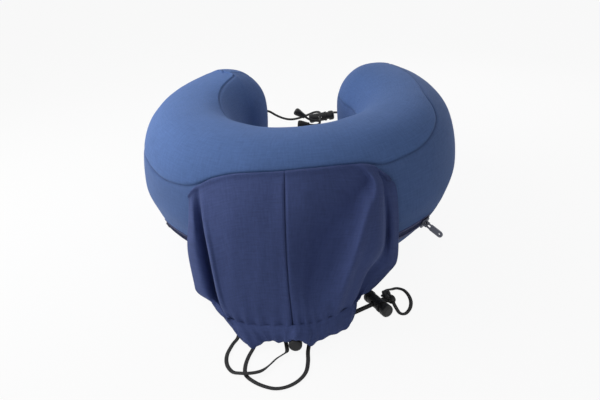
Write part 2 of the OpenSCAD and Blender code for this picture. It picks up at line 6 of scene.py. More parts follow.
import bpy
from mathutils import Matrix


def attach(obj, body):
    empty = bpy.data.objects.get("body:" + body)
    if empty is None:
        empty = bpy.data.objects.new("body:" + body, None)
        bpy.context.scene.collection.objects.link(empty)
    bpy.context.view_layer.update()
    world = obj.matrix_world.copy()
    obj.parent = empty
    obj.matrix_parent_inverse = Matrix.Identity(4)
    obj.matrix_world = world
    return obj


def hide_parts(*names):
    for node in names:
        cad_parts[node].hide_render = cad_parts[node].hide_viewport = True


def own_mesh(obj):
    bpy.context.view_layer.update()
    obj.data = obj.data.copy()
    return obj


bl_info = {
    "name": "Neck Pillow",
    "version": (1, 0, 0),
    "blender": (4, 5, 0),
    "location": "View3D > Sidebar > Neck Pillow",
    "description": "Dresses the packed solids of a neck pillow in cloth, elastic, plastic and metal",
    "category": "Add Mesh",
}

import math

import bmesh
import bpy
from bpy.props import FloatProperty, FloatVectorProperty, IntProperty, PointerProperty
from mathutils import Matrix, Vector, noise

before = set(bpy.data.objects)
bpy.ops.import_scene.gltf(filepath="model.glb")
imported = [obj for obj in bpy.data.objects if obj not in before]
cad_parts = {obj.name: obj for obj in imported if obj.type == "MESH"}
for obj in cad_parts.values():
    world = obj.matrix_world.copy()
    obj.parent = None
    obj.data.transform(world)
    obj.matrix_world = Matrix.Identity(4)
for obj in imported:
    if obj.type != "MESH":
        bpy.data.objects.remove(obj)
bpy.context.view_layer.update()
MM = 0.001
BODY = "pillow"
CLOTH_UV = "cloth"
WHITE = (1.0, 1.0, 1.0, 1.0)


def size(label, text, millimetres):
    """A length that a user may change."""
    return FloatProperty(
        name=label, description=text, default=millimetres * MM, min=0.0, unit="LENGTH", precision=5
    )


def turn(label, text, degrees):
    """An angle that a user may change."""
    return FloatProperty(name=label, description=text, default=math.radians(degrees), subtype="ANGLE")


def share(label, text, value):
    """A plain number that a user may change."""
    return FloatProperty(name=label, description=text, default=value, min=0.0)


def colour(label, text, red, green, blue):
    """A colour given in the 0 to 255 values of a picture, kept as linear light."""
    linear = [((c / 255 + 0.055) / 1.055) ** 2.4 if c > 10 else c / 255 / 12.92 for c in (red, green, blue)]
    return FloatVectorProperty(
        name=label, description=text, default=linear, size=3, subtype="COLOR", min=0.0, max=1.0
    )


class PillowSizes(bpy.types.PropertyGroup):
    """Sizes of the padded ring and its cover."""

    ring_radius: size("Ring radius", "Radius of the ring's centre line about the neck", 99)
    half_width: size("Half width", "Half of the padded section's width", 46)
    height: size("Height", "Height of the pillow", 129)
    widest_height: size("Widest height", "Height at which the section is widest", 64.5)
    arm_angle: turn("Arm angle", "Angle from the nape to each arm's end", 128.5)
    crown_fullness: share("Crown fullness", "Fullness of the crown, 2 is an ellipse", 2.5)
    belly_fullness: share("Belly fullness", "Fullness of the underside, 2 is an ellipse", 1.65)
    base_cut: size("Base cut", "Depth of the underside that is pressed flat", 3.5)
    cover_thickness: size("Cover thickness", "Thickness of the knitted cover", 1.1)
    slack: size("Slack", "How far the cover is drawn in before it is blown up over the foam", 1.0)
    seam_depth: size("Seam depth", "Depth of the groove along a seam", 1.1)
    seam_width: size("Seam width", "Half width of the groove along a seam", 1.1)
    pucker: size("Pucker", "Height of the puckers beside a seam", 0.22)
    swell: size("Swell", "How far the blown up cover stands out above the zip", 1.3)
    crest: size("Crest", "Height of the ridge along the left arm's inner seam", 4.2)
    crest_width: size("Crest width", "Half width of that ridge on the top panel", 19)
    tuck: share("Tuck", "Share by which the underside is drawn in below the zip", 0.17)
    foam_inset: size("Foam inset", "Distance of the foam below the cover", 5.0)
    zip_height: size("Zip height", "Height of the zip and of the seam round the base", 37)
    zip_half_angle: turn("Zip half angle", "Half of the angle that the zip runs round the nape", 55)
    zip_slit: size("Zip slit", "Half of the slit between the cover's edges along the zip", 4.6)
    zip_lip: size("Zip lip", "How far the cover's edges stand up along the zip", 1.1)


class ZipSizes(bpy.types.PropertyGroup):
    """Sizes of the zip."""

    tape_width: size("Tape width", "Width of each woven tape", 5.4)
    tape_thickness: size("Tape thickness", "Thickness of the tapes", 0.7)
    row_space: size("Row space", "Space between the two rows of teeth", 1.2)
    coil_pitch: size("Coil pitch", "Length of one turn of the coil", 1.6)
    coil_width: size("Coil width", "Width of the coil across the zip", 2.3)
    coil_height: size("Coil height", "Height of the coil over the tape", 0.85)
    wire: size("Wire", "Diameter of the coil's filament", 0.6)


class PouchSizes(bpy.types.PropertyGroup):
    """Sizes of the drawstring pouch."""

    half_angle: turn("Half angle", "Half of the angle that the top edge spans", 32.5)
    cloth: size("Cloth", "Thickness of the cloth", 0.8)
    layer_gap: size("Layer gap", "Gap between the two layers at the middle", 2.6)
    side_gap: size("Side gap", "Gap between the layers along the seams", 0.5)
    cover_clear: size("Cover clearance", "Clearance between the pouch and the cover", 1.0)
    hem_half: size("Hem half thickness", "Half thickness of the gathered hem", 2.4)
    gathers: IntProperty(name="Gathers", description="Number of gathers along the hem", default=13, min=2)
    gather_share: share("Gather share", "Depth of the gathers as a share of the hem's thickness", 0.32)


class CordSizes(bpy.types.PropertyGroup):
    """Sizes of the elastics."""

    cord: size("Cord", "Diameter of the round elastic between the arm ends", 2.4)
    elastic_width: size("Elastic width", "Width of the flat elastic", 3.0)
    elastic_thickness: size("Elastic thickness", "Thickness of the flat elastic", 0.9)


class LockSizes(bpy.types.PropertyGroup):
    """Sizes of the springs in the cord locks."""

    spring_wire: size("Spring wire", "Diameter of the spring's wire", 0.6)
    spring_radius: size("Spring radius", "Radius of the coil at the middle of its wire", 3.0)
    spring_seat: size("Spring seat", "Distance of the coil's seat from the middle of the cord hole", 9.6)
    spring_length: size("Spring length", "Length of the coil at rest", 4.8)
    spring_turns: IntProperty(name="Spring turns", description="Turns of the coil", default=3, min=1)
    spring_pressed: share("Spring pressed", "Share of its length that a pressed coil keeps", 0.5)


class Finishes(bpy.types.PropertyGroup):
    """Colours of the pillow's finishes."""

    cover: colour("Cover", "Knitted top panel", 91, 121, 178)
    cover_side: colour("Cover sides", "Knitted side and base panels", 86, 112, 164)
    pouch: colour("Pouch", "Woven pouch cloth", 71, 85, 135)
    foam: colour("Foam", "Foam core", 233, 224, 196)
    tape: colour("Zip tape", "Woven zip tapes and coils", 44, 55, 104)
    plastic: colour("Plastic", "Moulded locks and cord ends", 15, 15, 17)
    elastic: colour("Elastic", "Braided elastic", 12, 12, 14)
    metal: colour("Metal", "Zip slider and pull", 92, 94, 104)
    steel: colour("Steel", "Lock springs", 190, 192, 196)
    floor: colour("Floor", "Plain pale floor", 244, 244, 244)


class PillowSettings(bpy.types.PropertyGroup):
    """Everything about the pillow that a user may change."""

    pillow: PointerProperty(type=PillowSizes)
    zip: PointerProperty(type=ZipSizes)
    pouch: PointerProperty(type=PouchSizes)
    cords: PointerProperty(type=CordSizes)
    locks: PointerProperty(type=LockSizes)
    finish: PointerProperty(type=Finishes)


# Shader maths


class Wire:
    """A shader socket that takes part in Python arithmetic."""

    def __init__(self, finish, socket):
        self.finish, self.socket = finish, socket

    def math(self, operation, *values):
        return self.finish.node("ShaderNodeMath", {"operation": operation}, dict(enumerate(values)))

    def __add__(self, other):
        return self.math("ADD", self, other)

    def __sub__(self, other):
        return self.math("SUBTRACT", self, other)

    def __rsub__(self, other):
        return self.math("SUBTRACT", other, self)

    def __mul__(self, other):
        return self.math("MULTIPLY", self, other)

    def __truediv__(self, other):
        return self.math("DIVIDE", self, other)

    def __mod__(self, other):
        return self.math("FLOORED_MODULO", self, other)

    def __abs__(self):
        return self.math("ABSOLUTE", self)

    def wave(self):
        """A sine of this value, from 0 to 1, that repeats at every whole number."""
        return self.math("SINE", self * math.tau) * 0.5 + 0.5

    def clamped(self):
        return self.finish.node("ShaderNodeClamp", {}, {"Value": self})


class Finish:
    """A material, or the world, in the making. Every node comes from one method."""

    def __init__(self, name, kind="materials"):
        self.made = getattr(bpy.data, kind).new(name)
        self.made.use_nodes = True
        self.tree = self.made.node_tree
        self.tree.nodes.clear()

    def node(self, kind, settings=None, values=None, outlet=0):
        made = self.tree.nodes.new(kind)
        for key, value in (settings or {}).items():
            setattr(made, key, value)
        for key, value in (values or {}).items():
            if isinstance(value, Wire):
                self.tree.links.new(value.socket, made.inputs[key])
            else:
                made.inputs[key].default_value = value
        return Wire(self, made.outputs[outlet]) if made.outputs else made

    def place(self):
        """The piece's own coordinates, in metres."""
        return self.node("ShaderNodeTexCoord", outlet=3)

    def uv(self):
        return self.node("ShaderNodeUVMap", {"uv_map": CLOTH_UV})

    def attribute(self, name):
        return self.node("ShaderNodeAttribute", {"attribute_name": name}, outlet=2)

    def part(self, vector, axis):
        return self.node("ShaderNodeSeparateXYZ", {}, {"Vector": vector}, outlet=axis)

    def noise(self, vector, scale, detail=2.0, rough=0.5):
        return self.node(
            "ShaderNodeTexNoise", {}, {"Vector": vector, "Scale": scale, "Detail": detail, "Roughness": rough}
        )

    def streaks(self, uv, scale):
        """Uneven yarns that run both ways through a cloth, from 0 to 2."""
        lanes = [
            self.node("ShaderNodeVectorMath", {"operation": "MULTIPLY"}, {0: uv, 1: way})
            for way in ((7.0, 1.0, 1.0), (1.0, 7.0, 1.0))
        ]
        return self.noise(lanes[0], scale) + self.noise(lanes[1], scale)

    def in_view(self):
        """1 for what the camera sees straight, mirrored or through something clear, and 0 for other light."""
        straight, mirrored, clear = (
            self.node("ShaderNodeLightPath", outlet=f"Is {ray} Ray")
            for ray in ("Camera", "Glossy", "Transmission")
        )
        return (straight + mirrored + clear).clamped()

    def shaded(self, base, factor):
        """A colour made lighter or darker by a factor."""
        return self.node("ShaderNodeVectorMath", {"operation": "SCALE"}, {0: base[:3], "Scale": factor})

    def mixed(self, first, second, factor):
        return self.node("ShaderNodeMix", {"data_type": "RGBA"}, {0: factor, 6: first, 7: second}, outlet=2)

    def bump(self, height, strength, distance):
        return self.node("ShaderNodeBump", {}, {"Height": height, "Strength": strength, "Distance": distance})

    def done(self, **values):
        """Closes the material with a Principled shader."""
        names = {key.replace("_", " ").title().replace("Ior", "IOR"): value for key, value in values.items()}
        shader = self.node("ShaderNodeBsdfPrincipled", {}, names)
        return self.closed(shader)

    def closed(self, shader, output="ShaderNodeOutputMaterial"):
        self.node(output, {}, {"Surface": shader})
        return self.made


def rgba(value):
    return (value[0], value[1], value[2], 1.0)


def knit_finish(name, base, wale=1.15 * MM, course=0.95 * MM):
    """Fine stretch jersey: columns of small V stitches, fibre speckle, a soft bloom and painted shade along
    the seams.
    """
    f = Finish(name)
    uv = f.uv()
    across, along = f.part(uv, 0) / wale, f.part(uv, 1) / course
    chevron = abs(across % 1.0 - 0.5)
    strand = (along + chevron).wave()
    column = 1.0 - abs(chevron * 2.0 - 0.5) * 2.0
    stitch = strand * 0.5 + column * 0.5
    place = f.place()
    fibre = f.noise(place, 1500.0, 3.0, 0.6)
    cloud = f.noise(place, 26.0, 3.0, 0.5)
    yarn = f.streaks(uv, 110.0)
    shade = stitch * 0.14 + fibre * 0.26 + cloud * 0.1 + yarn * 0.26 + 0.5
    # Painted shade: the colour is darkened along the seams by the cover's seam layer.
    shade = shade * (1.0 - f.attribute("painted_seam_shade") * 0.3)
    height = stitch + fibre * 0.5 + yarn * 0.5
    return f.done(
        base_color=f.shaded(rgba(base), shade),
        roughness=fibre * 0.12 + 0.8,
        normal=f.bump(height, 0.4, 0.25 * MM),
        sheen_weight=0.14,
        sheen_roughness=0.45,
        sheen_tint=(0.6, 0.72, 1.0, 1.0),
        specular_ior_level=0.25,
    )


def woven_finish(name, base, thread=0.55 * MM):
    """Plain weave cloth with a slight slub."""
    f = Finish(name)
    uv = f.uv()
    warp, weft = f.part(uv, 0) / thread, f.part(uv, 1) / thread
    weave = (warp.wave() * 2.0 - 1.0) * (weft.wave() * 2.0 - 1.0) * 0.5 + 0.5
    slub = f.streaks(uv, 95.0)
    place = f.place()
    fibre = f.noise(place, 1800.0, 2.0, 0.6)
    cloud = f.noise(place, 30.0, 3.0, 0.5)
    shade = weave * 0.12 + slub * 0.34 + fibre * 0.2 + cloud * 0.12 + 0.44
    return f.done(
        base_color=f.shaded(rgba(base), shade),
        roughness=fibre * 0.12 + 0.78,
        normal=f.bump(weave + slub * 0.8, 0.4, 0.22 * MM),
        sheen_weight=0.05,
        sheen_roughness=0.4,
        sheen_tint=(0.5, 0.65, 1.0, 1.0),
        specular_ior_level=0.25,
    )


def foam_finish(name, base):
    """Open cell foam with fine pores."""
    f = Finish(name)
    place = f.place()
    cell = f.node("ShaderNodeTexVoronoi", {}, {"Vector": place, "Scale": 900.0})
    cloud = f.noise(place, 20.0)
    return f.done(
        base_color=f.shaded(rgba(base), cell * 0.3 + cloud * 0.1 + 0.72),
        roughness=cell * 0.1 + 0.85,
        normal=f.bump(cell, 0.5, 0.4 * MM),
    )


def tape_finish(name, base):
    """Narrow woven tape: fine ribs that run along it."""
    f = Finish(name)
    uv = f.uv()
    rib, pick = (f.part(uv, 1) / (0.6 * MM)).wave(), (f.part(uv, 0) / (0.5 * MM)).wave()
    fibre = f.noise(f.place(), 1600.0, 2.0, 0.6)
    height = rib * 0.6 + pick * 0.4
    return f.done(
        base_color=f.shaded(rgba(base), height * 0.25 + fibre * 0.2 + 0.75),
        roughness=fibre * 0.15 + 0.7,
        normal=f.bump(height, 0.4, 0.2 * MM),
        sheen_weight=0.1,
    )


def elastic_finish(name, base, pick):
    """Braided elastic: slanting yarns that cross along the cord."""
    f = Finish(name)
    run, side = f.attribute("run") / pick, f.attribute("side") * 4.0
    yarn = (run + side).wave() * (run - side).wave()
    fibre = f.noise(f.place(), 1900.0, 2.0, 0.6)
    return f.done(
        base_color=f.shaded(rgba(base), yarn * 0.9 + fibre * 0.5 + 0.4),
        roughness=fibre * 0.2 + 0.62,
        normal=f.bump(yarn + fibre * 0.3, 0.55, 0.25 * MM),
        sheen_weight=0.12,
        sheen_roughness=0.4,
    )


def plastic_finish(name, base):
    """Moulded plastic: a spark eroded grain, faint flow marks and rubbed places."""
    f = Finish(name)
    place = f.place()
    grain = f.noise(place, 2600.0, 2.0, 0.5)
    flow = f.noise(place, 160.0, 3.0, 0.5)
    rubbed = ((f.noise(place, 330.0, 4.0, 0.6) - 0.56) * 6.0).clamped()
    pale = [c + 0.02 for c in base]
    return f.done(
        base_color=f.mixed(rgba(base), rgba(pale), rubbed * 0.6 + flow * 0.2),
        roughness=grain * 0.12 + rubbed * 0.15 + 0.46,
        normal=f.bump(grain + flow * 0.3, 0.22, 0.1 * MM),
        specular_ior_level=0.36,
    )


def metal_finish(name, base, rough):
    """Plated metal with fine scuffs."""
    f = Finish(name)
    place = f.place()
    scuff = f.noise(place, 1400.0, 3.0, 0.65)
    dull = f.noise(place, 240.0, 2.0, 0.5)
    return f.done(
        base_color=f.shaded(rgba(base), scuff * 0.25 + dull * 0.2 + 0.78),
        metallic=1.0,
        roughness=scuff * 0.18 + dull * 0.12 + rough,
        normal=f.bump(scuff, 0.12, 0.1 * MM),
    )


def floor_finish(name, base, glow=0.92):
    """Pale floor that shows a soft shadow on a white ground."""
    f = Finish(name)
    pale = f.shaded(rgba(base), f.noise(f.place(), 6.0, 3.0) * 0.02 + 0.98)
    board = f.node(
        "ShaderNodeBsdfPrincipled", {}, {"Base Color": pale, "Roughness": 0.9, "Specular IOR Level": 0.1}
    )
    white = f.node("ShaderNodeEmission", {}, {"Color": WHITE, "Strength": 1.0})
    return f.closed(f.node("ShaderNodeMixShader", {}, {0: f.in_view() * glow, 1: board, 2: white}))


def studio_world(name, strength=0.22):
    """Dim, slightly cool room light, with a white ground where the camera looks past the floor."""
    f = Finish(name, "worlds")
    room = f.node("ShaderNodeBackground", {}, {"Color": (0.97, 0.985, 1.0, 1.0), "Strength": strength})
    white = f.node("ShaderNodeBackground", {}, {"Color": WHITE, "Strength": 1.0})
    mix = f.node("ShaderNodeMixShader", {}, {0: f.in_view(), 1: room, 2: white})
    return f.closed(mix, "ShaderNodeOutputWorld")


# The photograph's view


# Degrees above the floor, round to the right and of roll, and the distance from the point that it looks at.
VIEW_ANGLES = (25.455, 4.996, 4.007)
VIEW_DISTANCE = 0.64943
VIEW_AIM = Vector((0.0, 0.0, 0.06))
# The picture's and the focal length's pixels, the shift as a share of the width, and the sensor's width.
IMAGE_WIDTH, IMAGE_HEIGHT = 600, 400
FOCAL = 676.52
VIEW_SHIFT = (0.0007, -0.07135)
SENSOR = 36.0


class PhotoView:
    """Where the photograph was taken from, and what its pixels show."""

    def __init__(self):
        lift, swing, roll = (math.radians(angle) for angle in VIEW_ANGLES)
        flat = math.cos(lift)
        self.back = Vector((math.sin(swing) * flat, -math.cos(swing) * flat, math.sin(lift)))
        right = Vector((math.cos(swing), math.sin(swing), 0.0))
        up = self.back.cross(right)
        self.across = right * math.cos(roll) - up * math.sin(roll)
        self.up = right * math.sin(roll) + up * math.cos(roll)
        self.eye = VIEW_AIM + self.back * VIEW_DISTANCE

    def at_depth(self, x, y, depth):
        """Point that a pixel shows at a depth along Y."""
        right = x - IMAGE_WIDTH / 2 + VIEW_SHIFT[0] * IMAGE_WIDTH
        down = y - IMAGE_HEIGHT / 2 - VIEW_SHIFT[1] * IMAGE_WIDTH
        way = (self.across * right - self.up * down) / FOCAL - self.back
        return self.eye + way * ((depth - self.eye.y) / way.y)


# Mesh helpers


def settings():
    return bpy.context.scene.neck_pillow


def as_piece(name, bm, material):
    """A finished mesh as a piece of the pillow."""
    mesh = bpy.data.meshes.new(name)
    bm.to_mesh(mesh)
    bm.free()
    mesh.shade_smooth()
    mesh.materials.append(material)
    piece = bpy.data.objects.new(name, mesh)
    bpy.context.scene.collection.objects.link(piece)
    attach(piece, BODY)
    return piece


def thicken(piece, thickness, levels):
    """Rounds a skin by subdivision and gives it a wall on its inner side."""
    if levels:
        smooth = piece.modifiers.new("Smooth", "SUBSURF")
        smooth.levels = smooth.render_levels = levels
    wall = piece.modifiers.new("Wall", "SOLIDIFY")
    wall.thickness = thickness
    wall.offset = -1.0


def dress(nodes, material):
    """Gives CAD nodes a finish."""
    for node in nodes:
        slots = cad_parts[node].data.materials
        slots.clear()
        slots.append(material)


def eased(table, at):
    """Value of a table of (place, value) pairs, smooth between its places."""
    if at <= table[0][0]:
        return table[0][1]
    for (a, low), (b, high) in zip(table, table[1:]):
        if at <= b:
            s = (at - a) / (b - a)
            return low + (high - low) * s * s * (3 - 2 * s)
    return table[-1][1]


def through(table, at):
    """Value of a table of (place, value) pairs on a smooth curve through them all."""
    count = len(table)
    k = max(0, min(count - 2, sum(1 for p in table if p[0] <= at) - 1))
    (a, low), (b, high) = table[k], table[k + 1]
    before, after = table[max(0, k - 1)], table[min(count - 1, k + 2)]
    span = b - a
    start = (high - before[1]) / (b - before[0]) * span
    end = (after[1] - low) / (after[0] - a) * span
    s = max(0.0, min(1.0, (at - a) / span))
    return (
        low * (2 * s**3 - 3 * s**2 + 1)
        + start * (s**3 - 2 * s**2 + s)
        + high * (3 * s**2 - 2 * s**3)
        + end * (s**3 - s**2)
    )


def smooth_route(route, per_span=5, origin=(0.0, 0.0, 0.0)):
    """Points on a smooth curve through a route in millimetres, as points in metres."""
    corners = [(Vector(p) + Vector(origin)) * MM for p in route]
    last = len(corners) - 1
    made = []
    for i in range(last):
        p0, p1 = corners[max(0, i - 1)], corners[i]
        p2, p3 = corners[i + 1], corners[min(last, i + 2)]
        for k in range(per_span):
            s = k / per_span
            bend = (2 * p0 - 5 * p1 + 4 * p2 - p3) * s * s + (3 * p1 - p0 - 3 * p2 + p3) * s**3
            made.append(0.5 * (2 * p1 + (p2 - p0) * s + bend))
    return made + [corners[-1]]


def path_length(path):
    return sum((b - a).length for a, b in zip(path, path[1:]))


def sweep(bm, path, wide, thick, rolls=None, sides=12, power=2.0):
    """Draws an oval ring out along a path. At no roll it lies flat: wide across the path, thin upwards."""
    run = bm.verts.layers.float.get("run") or bm.verts.layers.float.new("run")
    side = bm.verts.layers.float.get("side") or bm.verts.layers.float.new("side")
    last = len(path) - 1

    def lay(ring, k, travelled):
        way = (path[min(last, k + 1)] - path[max(0, k - 1)]).normalized()
        across = Vector((0, 0, 1)).cross(way)
        across = across.normalized() if across.length > 1e-6 else Vector((1, 0, 0))
        roll = eased(rolls, k / last) if rolls else 0.0
        across = Matrix.Rotation(math.radians(roll), 3, way) @ across
        up = way.cross(across)
        for v in ring:
            a = v[side] * math.tau
            c, s = math.cos(a), math.sin(a)
            v.co = (
                path[k]
                + across * wide / 2 * math.copysign(abs(c) ** (2 / power), c)
                + up * thick / 2 * math.copysign(abs(s) ** (2 / power), s)
            )
            v[run] = travelled

    ring = bmesh.ops.create_circle(bm, segments=sides, radius=1.0)["verts"]
    for v in ring:
        v[side] = (math.atan2(v.co.y, v.co.x) / math.tau) % 1.0
    edges = list({e for v in ring for e in v.link_edges})
    lay(ring, 0, 0.0)
    travelled = 0.0
    ends = list(edges)
    for k in range(1, last + 1):
        drawn = bmesh.ops.extrude_edge_only(bm, edges=edges)["geom"]
        ring = [g for g in drawn if isinstance(g, bmesh.types.BMVert)]
        edges = [g for g in drawn if isinstance(g, bmesh.types.BMEdge) and g.is_boundary]
        travelled += (path[k] - path[k - 1]).length
        lay(ring, k, travelled)
    bmesh.ops.holes_fill(bm, edges=ends + edges, sides=0)
    bmesh.ops.recalc_face_normals(bm, faces=bm.faces)


def grid(columns, rows):
    """A flat grid from 0 to 1 each way."""
    bm = bmesh.new()
    bmesh.ops.create_grid(bm, x_segments=columns, y_segments=rows, size=0.5)
    bmesh.ops.translate(bm, verts=bm.verts, vec=(0.5, 0.5, 0.0))
    return bm


# The padded ring


class PadShape:
    """Outer surface of the padded ring: a full section led round the neck and turned about each arm's end."""

    def __init__(self, sizes):
        self.ring, self.half = sizes.ring_radius, sizes.half_width
        self.widest, self.arm = sizes.widest_height, sizes.arm_angle
        self.crown, self.belly = sizes.height - sizes.widest_height, sizes.widest_height + sizes.base_cut
        self.crown_n, self.belly_n = sizes.crown_fullness, sizes.belly_fullness
        self.zip_height, self.tuck = sizes.zip_height, sizes.tuck

    def section(self, angle, inset=0.0):
        rise = math.sin(angle)
        n = self.crown_n if rise >= 0 else self.belly_n
        tall = (self.crown if rise >= 0 else self.belly) - inset
        flat = math.cos(angle)
        z = self.widest + tall * math.copysign(abs(rise) ** (2 / n), rise)
        low = max(0.0, 1 - z / self.zip_height)
        wide = (self.half - inset) * (1 - self.tuck * low**1.5)
        return wide * math.copysign(abs(flat) ** (2 / n), flat), z

    def angle_at(self, z):
        if z >= self.widest:
            return math.asin(min(1.0, ((z - self.widest) / self.crown) ** (self.crown_n / 2)))
        return -math.asin(min(1.0, ((self.widest - z) / self.belly) ** (self.belly_n / 2)))

    def flat_angle(self, inset=0.0):
        return math.asin(((self.widest - inset) / (self.belly - inset)) ** (self.belly_n / 2))

    def wall_radius(self, z, off):
        """Radius of the outer wall at a height, a little off the surface."""
        return self.ring + self.section(self.angle_at(z), -off)[0]

    def place(self, station, x, z):
        """Point at a station round the neck, or past an arm's end round its tip."""
        at = max(-self.arm, min(self.arm, station))
        past = abs(station) - abs(at)
        radial = Vector((math.sin(at), -math.cos(at), 0.0))
        tip = Vector((math.cos(at), math.sin(at), 0.0)) * math.copysign(1.0, station)
        out = radial * math.copysign(math.cos(past), x) + tip * math.sin(past)
        if x < 0:
            x *= 1 - eased(END_DRAWN, math.degrees(abs(station))) * eased(END_DEPTH, z / MM)
        return radial * self.ring + out * abs(x) + Vector((0.0, 0.0, z))

    def travel(self, station):
        """Distance along the ring, used to lay the knit."""
        at = max(-self.arm, min(self.arm, station))
        return at * self.ring + (station - at) * self.half


# Height of the seams beside the top panel, in millimetres, by station in degrees.
# Past 128.5 degrees an arm's end is turned.
OUTER_SEAM = [
    (-218.5, 108), (-170, 100), (-128.5, 95), (-90, 93.5), (-64.7, 93.2), (-55.5, 91.7), (-48, 90.4),
    (-40, 92.0), (-32.5, 95.5), (-23.4, 105.5), (-14.7, 110.5), (-1, 112.6), (11.3, 113.4), (21, 112.3),
    (28, 110), (33, 107), (40, 107.2), (50, 107.6), (59, 110.4), (67.6, 114.7), (72.6, 119), (76.6, 123.2),
    (81, 126), (90, 127.4), (110, 127.8), (128.5, 126.5), (170, 120), (218.5, 108),
]
INNER_SEAM = [
    (-218.5, 108), (-195, 121), (-175, 127.6), (-155, 128.9), (-141, 128.3), (-132, 127), (-122, 125.6),
    (-111.4, 124.4), (-93.8, 121.7), (-77.8, 118.5), (-50, 113), (-20, 106), (0, 103), (40, 99), (80, 97),
    (110, 97), (128.5, 98), (170, 102), (218.5, 108),
]
# How far the cover swells, by height.
SWELL = [(42, 0.0), (62, 1.0), (100, 1.0), (120, 0.2)]
# How far each arm's end is drawn in on its inner side, by station and by height.
END_DRAWN = [(95, 0.0), (125, 0.8), (150, 1.0), (175, 1.0), (218.5, 0.0)]
END_DEPTH = [(0, 0.05), (25, 0.1), (48, 0.16), (72, 0.11), (105, 0.04), (129, 0.02)]
# How far the inner seam stands up as a ridge, and how clearly the seams show, by station.
CREST = [(-175, 0.0), (-150, 0.7), (-132, 1.0), (-95, 1.0), (-60, 0.0)]
INNER_SHOWS = [(-218.5, 1.0), (-95, 1.0), (-60, 0.45), (0, 0.4), (218.5, 0.8)]
OUTER_SHOWS = [(-218.5, 1.0), (70, 1.0), (92, 0.45), (128, 0.4), (218.5, 1.0)]
PANEL_ROWS = [
    ("base", 5), ("base", 12), ("slit", 1), ("outer", 22), ("top", 18),
    ("top", 18), ("inner", 22), ("slit", 1), ("base", 12), ("base", 5),
]
PANELS = ["base", "slit", "outer", "top", "inner"]
# Vertex layers of the cover. The last one holds painted shade along the seams, which darkens the knit's
# colour.
COVER_LAYERS = ("station", "outer", "inner", "zip", "under", "painted_seam_shade")
STATIONS, FOAM_STATIONS = 168, 96


class CoverLayout:
    """Where each row and column of the cover's grid lies on the padded ring."""

    def __init__(self, sizes):
        self.sizes, self.shape = sizes, PadShape(sizes)
        self.rows = sum(count for _, count in PANEL_ROWS)
        self.reach = self.shape.arm + math.pi / 2

    def slit_half(self, station):
        """Half of the slit along the zip, which closes to a seam past its ends."""
        past = math.degrees(abs(station) - self.sizes.zip_half_angle)
        return 0.1 * MM + (self.sizes.zip_slit - 0.1 * MM) * eased([(-0.5, 1.0), (1.5, 0.0)], past)

    def marks(self, station):
        """Section angles at the ends of each run of rows, from the middle of the base outwards and over."""
        shape, degrees = self.shape, math.degrees(station)
        zip_at = shape.angle_at(self.sizes.zip_height)
        slope = 1.0 / self.around(zip_at)
        half = self.slit_half(station) * slope
        thin = 0.1 * MM * slope
        seam_out = shape.angle_at(through(OUTER_SEAM, degrees) * MM)
        seam_in = math.pi - shape.angle_at(through(INNER_SEAM, degrees) * MM)
        flat = shape.flat_angle()
        return [
            None, -flat, zip_at - half, zip_at + half, seam_out, math.pi / 2,
            seam_in, math.pi - zip_at - thin, math.pi - zip_at + thin, math.pi + flat, None,
        ]

    def around(self, angle):
        """Length of section for each radian at an angle."""
        a, b = self.shape.section(angle - 0.01), self.shape.section(angle + 0.01)
        return math.dist(a, b) / 0.02

    def section(self, station, row, inset):
        """Section point of a row: rows crowd towards the seams."""
        marks = self.marks(station)
        flat_x = self.shape.section(-self.shape.flat_angle(inset), inset)[0]
        for k, (_, count) in enumerate(PANEL_ROWS):
            if row <= count:
                break
            row -= count
        s = row / count
        if k == 0:
            return flat_x * s, inset
        if k == len(PANEL_ROWS) - 1:
            return -flat_x * (1 - s), inset
        if k == 4:
            s = 1 - math.cos(s * math.pi / 2)
        elif k == 5:
            s = math.sin(s * math.pi / 2)
        elif count > 1:
            s = 0.5 - 0.5 * math.cos(s * math.pi)
        angle = marks[k] + (marks[k + 1] - marks[k]) * s
        x, z = self.shape.section(angle, inset)
        return x, max(z, inset)

    def panel(self, row):
        for name, count in PANEL_ROWS:
            if row < count:
                return PANELS.index(name)
            row -= count
        return 0


def cover_grid(layout, columns, inset):
    """The whole cover as one grid, with its seam distances, panels and knit laid out on it."""
    shape, rows = layout.shape, layout.rows
    bm = grid(columns, rows)
    uv = bm.loops.layers.uv.new(CLOTH_UV)
    panel = bm.faces.layers.int.new("panel")
    for name in COVER_LAYERS:
        bm.verts.layers.float.new(name)
    at, outer, inner, zip_run, under, _ = (bm.verts.layers.float[name] for name in COVER_LAYERS)
    stations = {}
    for v in bm.verts:
        column, row = round(v.co.x * columns), round(v.co.y * rows)
        station = -layout.reach + 2 * layout.reach * column / columns
        spot = (v, station, layout.section(station, row, inset))
        stations.setdefault(column, [None] * (rows + 1))[row] = spot
    for f in bm.faces:
        f[panel] = layout.panel(int(f.calc_center_median().y * rows))
    for column in stations.values():
        station = column[0][1]
        marks = layout.marks(station)
        low, high, seam_out, seam_in, seam_under = (shape.section(marks[k], inset) for k in (2, 3, 4, 6, 7))
        run, before = 0.0, column[0][2]
        for v, _, point in column:
            run += math.dist(point, before)
            before = point
            v[at] = station
            v[outer], v[inner] = math.dist(point, seam_out), math.dist(point, seam_in)
            v[zip_run] = min(math.dist(point, low), math.dist(point, high))
            v[under] = math.dist(point, seam_under)
            for loop in v.link_loops:
                loop[uv].uv = (shape.travel(station), run)
    for column in stations.values():
        for v, station, (x, z) in column:
            v.co = shape.place(station, x if abs(x) > 1e-7 else 0.0, z)
    bmesh.ops.remove_doubles(bm, verts=bm.verts, dist=0.004 * MM)
    bmesh.ops.recalc_face_normals(bm, faces=bm.faces)
    return bm


# How the cover stretches while it is blown up, and for how many frames.
STRETCH = {
    "quality": 4, "mass": 0.2, "tension_stiffness": 20, "compression_stiffness": 20, "shear_stiffness": 8,
    "bending_stiffness": 0.4, "use_pressure": True, "uniform_pressure_force": 4.0,
    "vertex_group_mass": "held",
}
BLOWN_FRAMES = 20


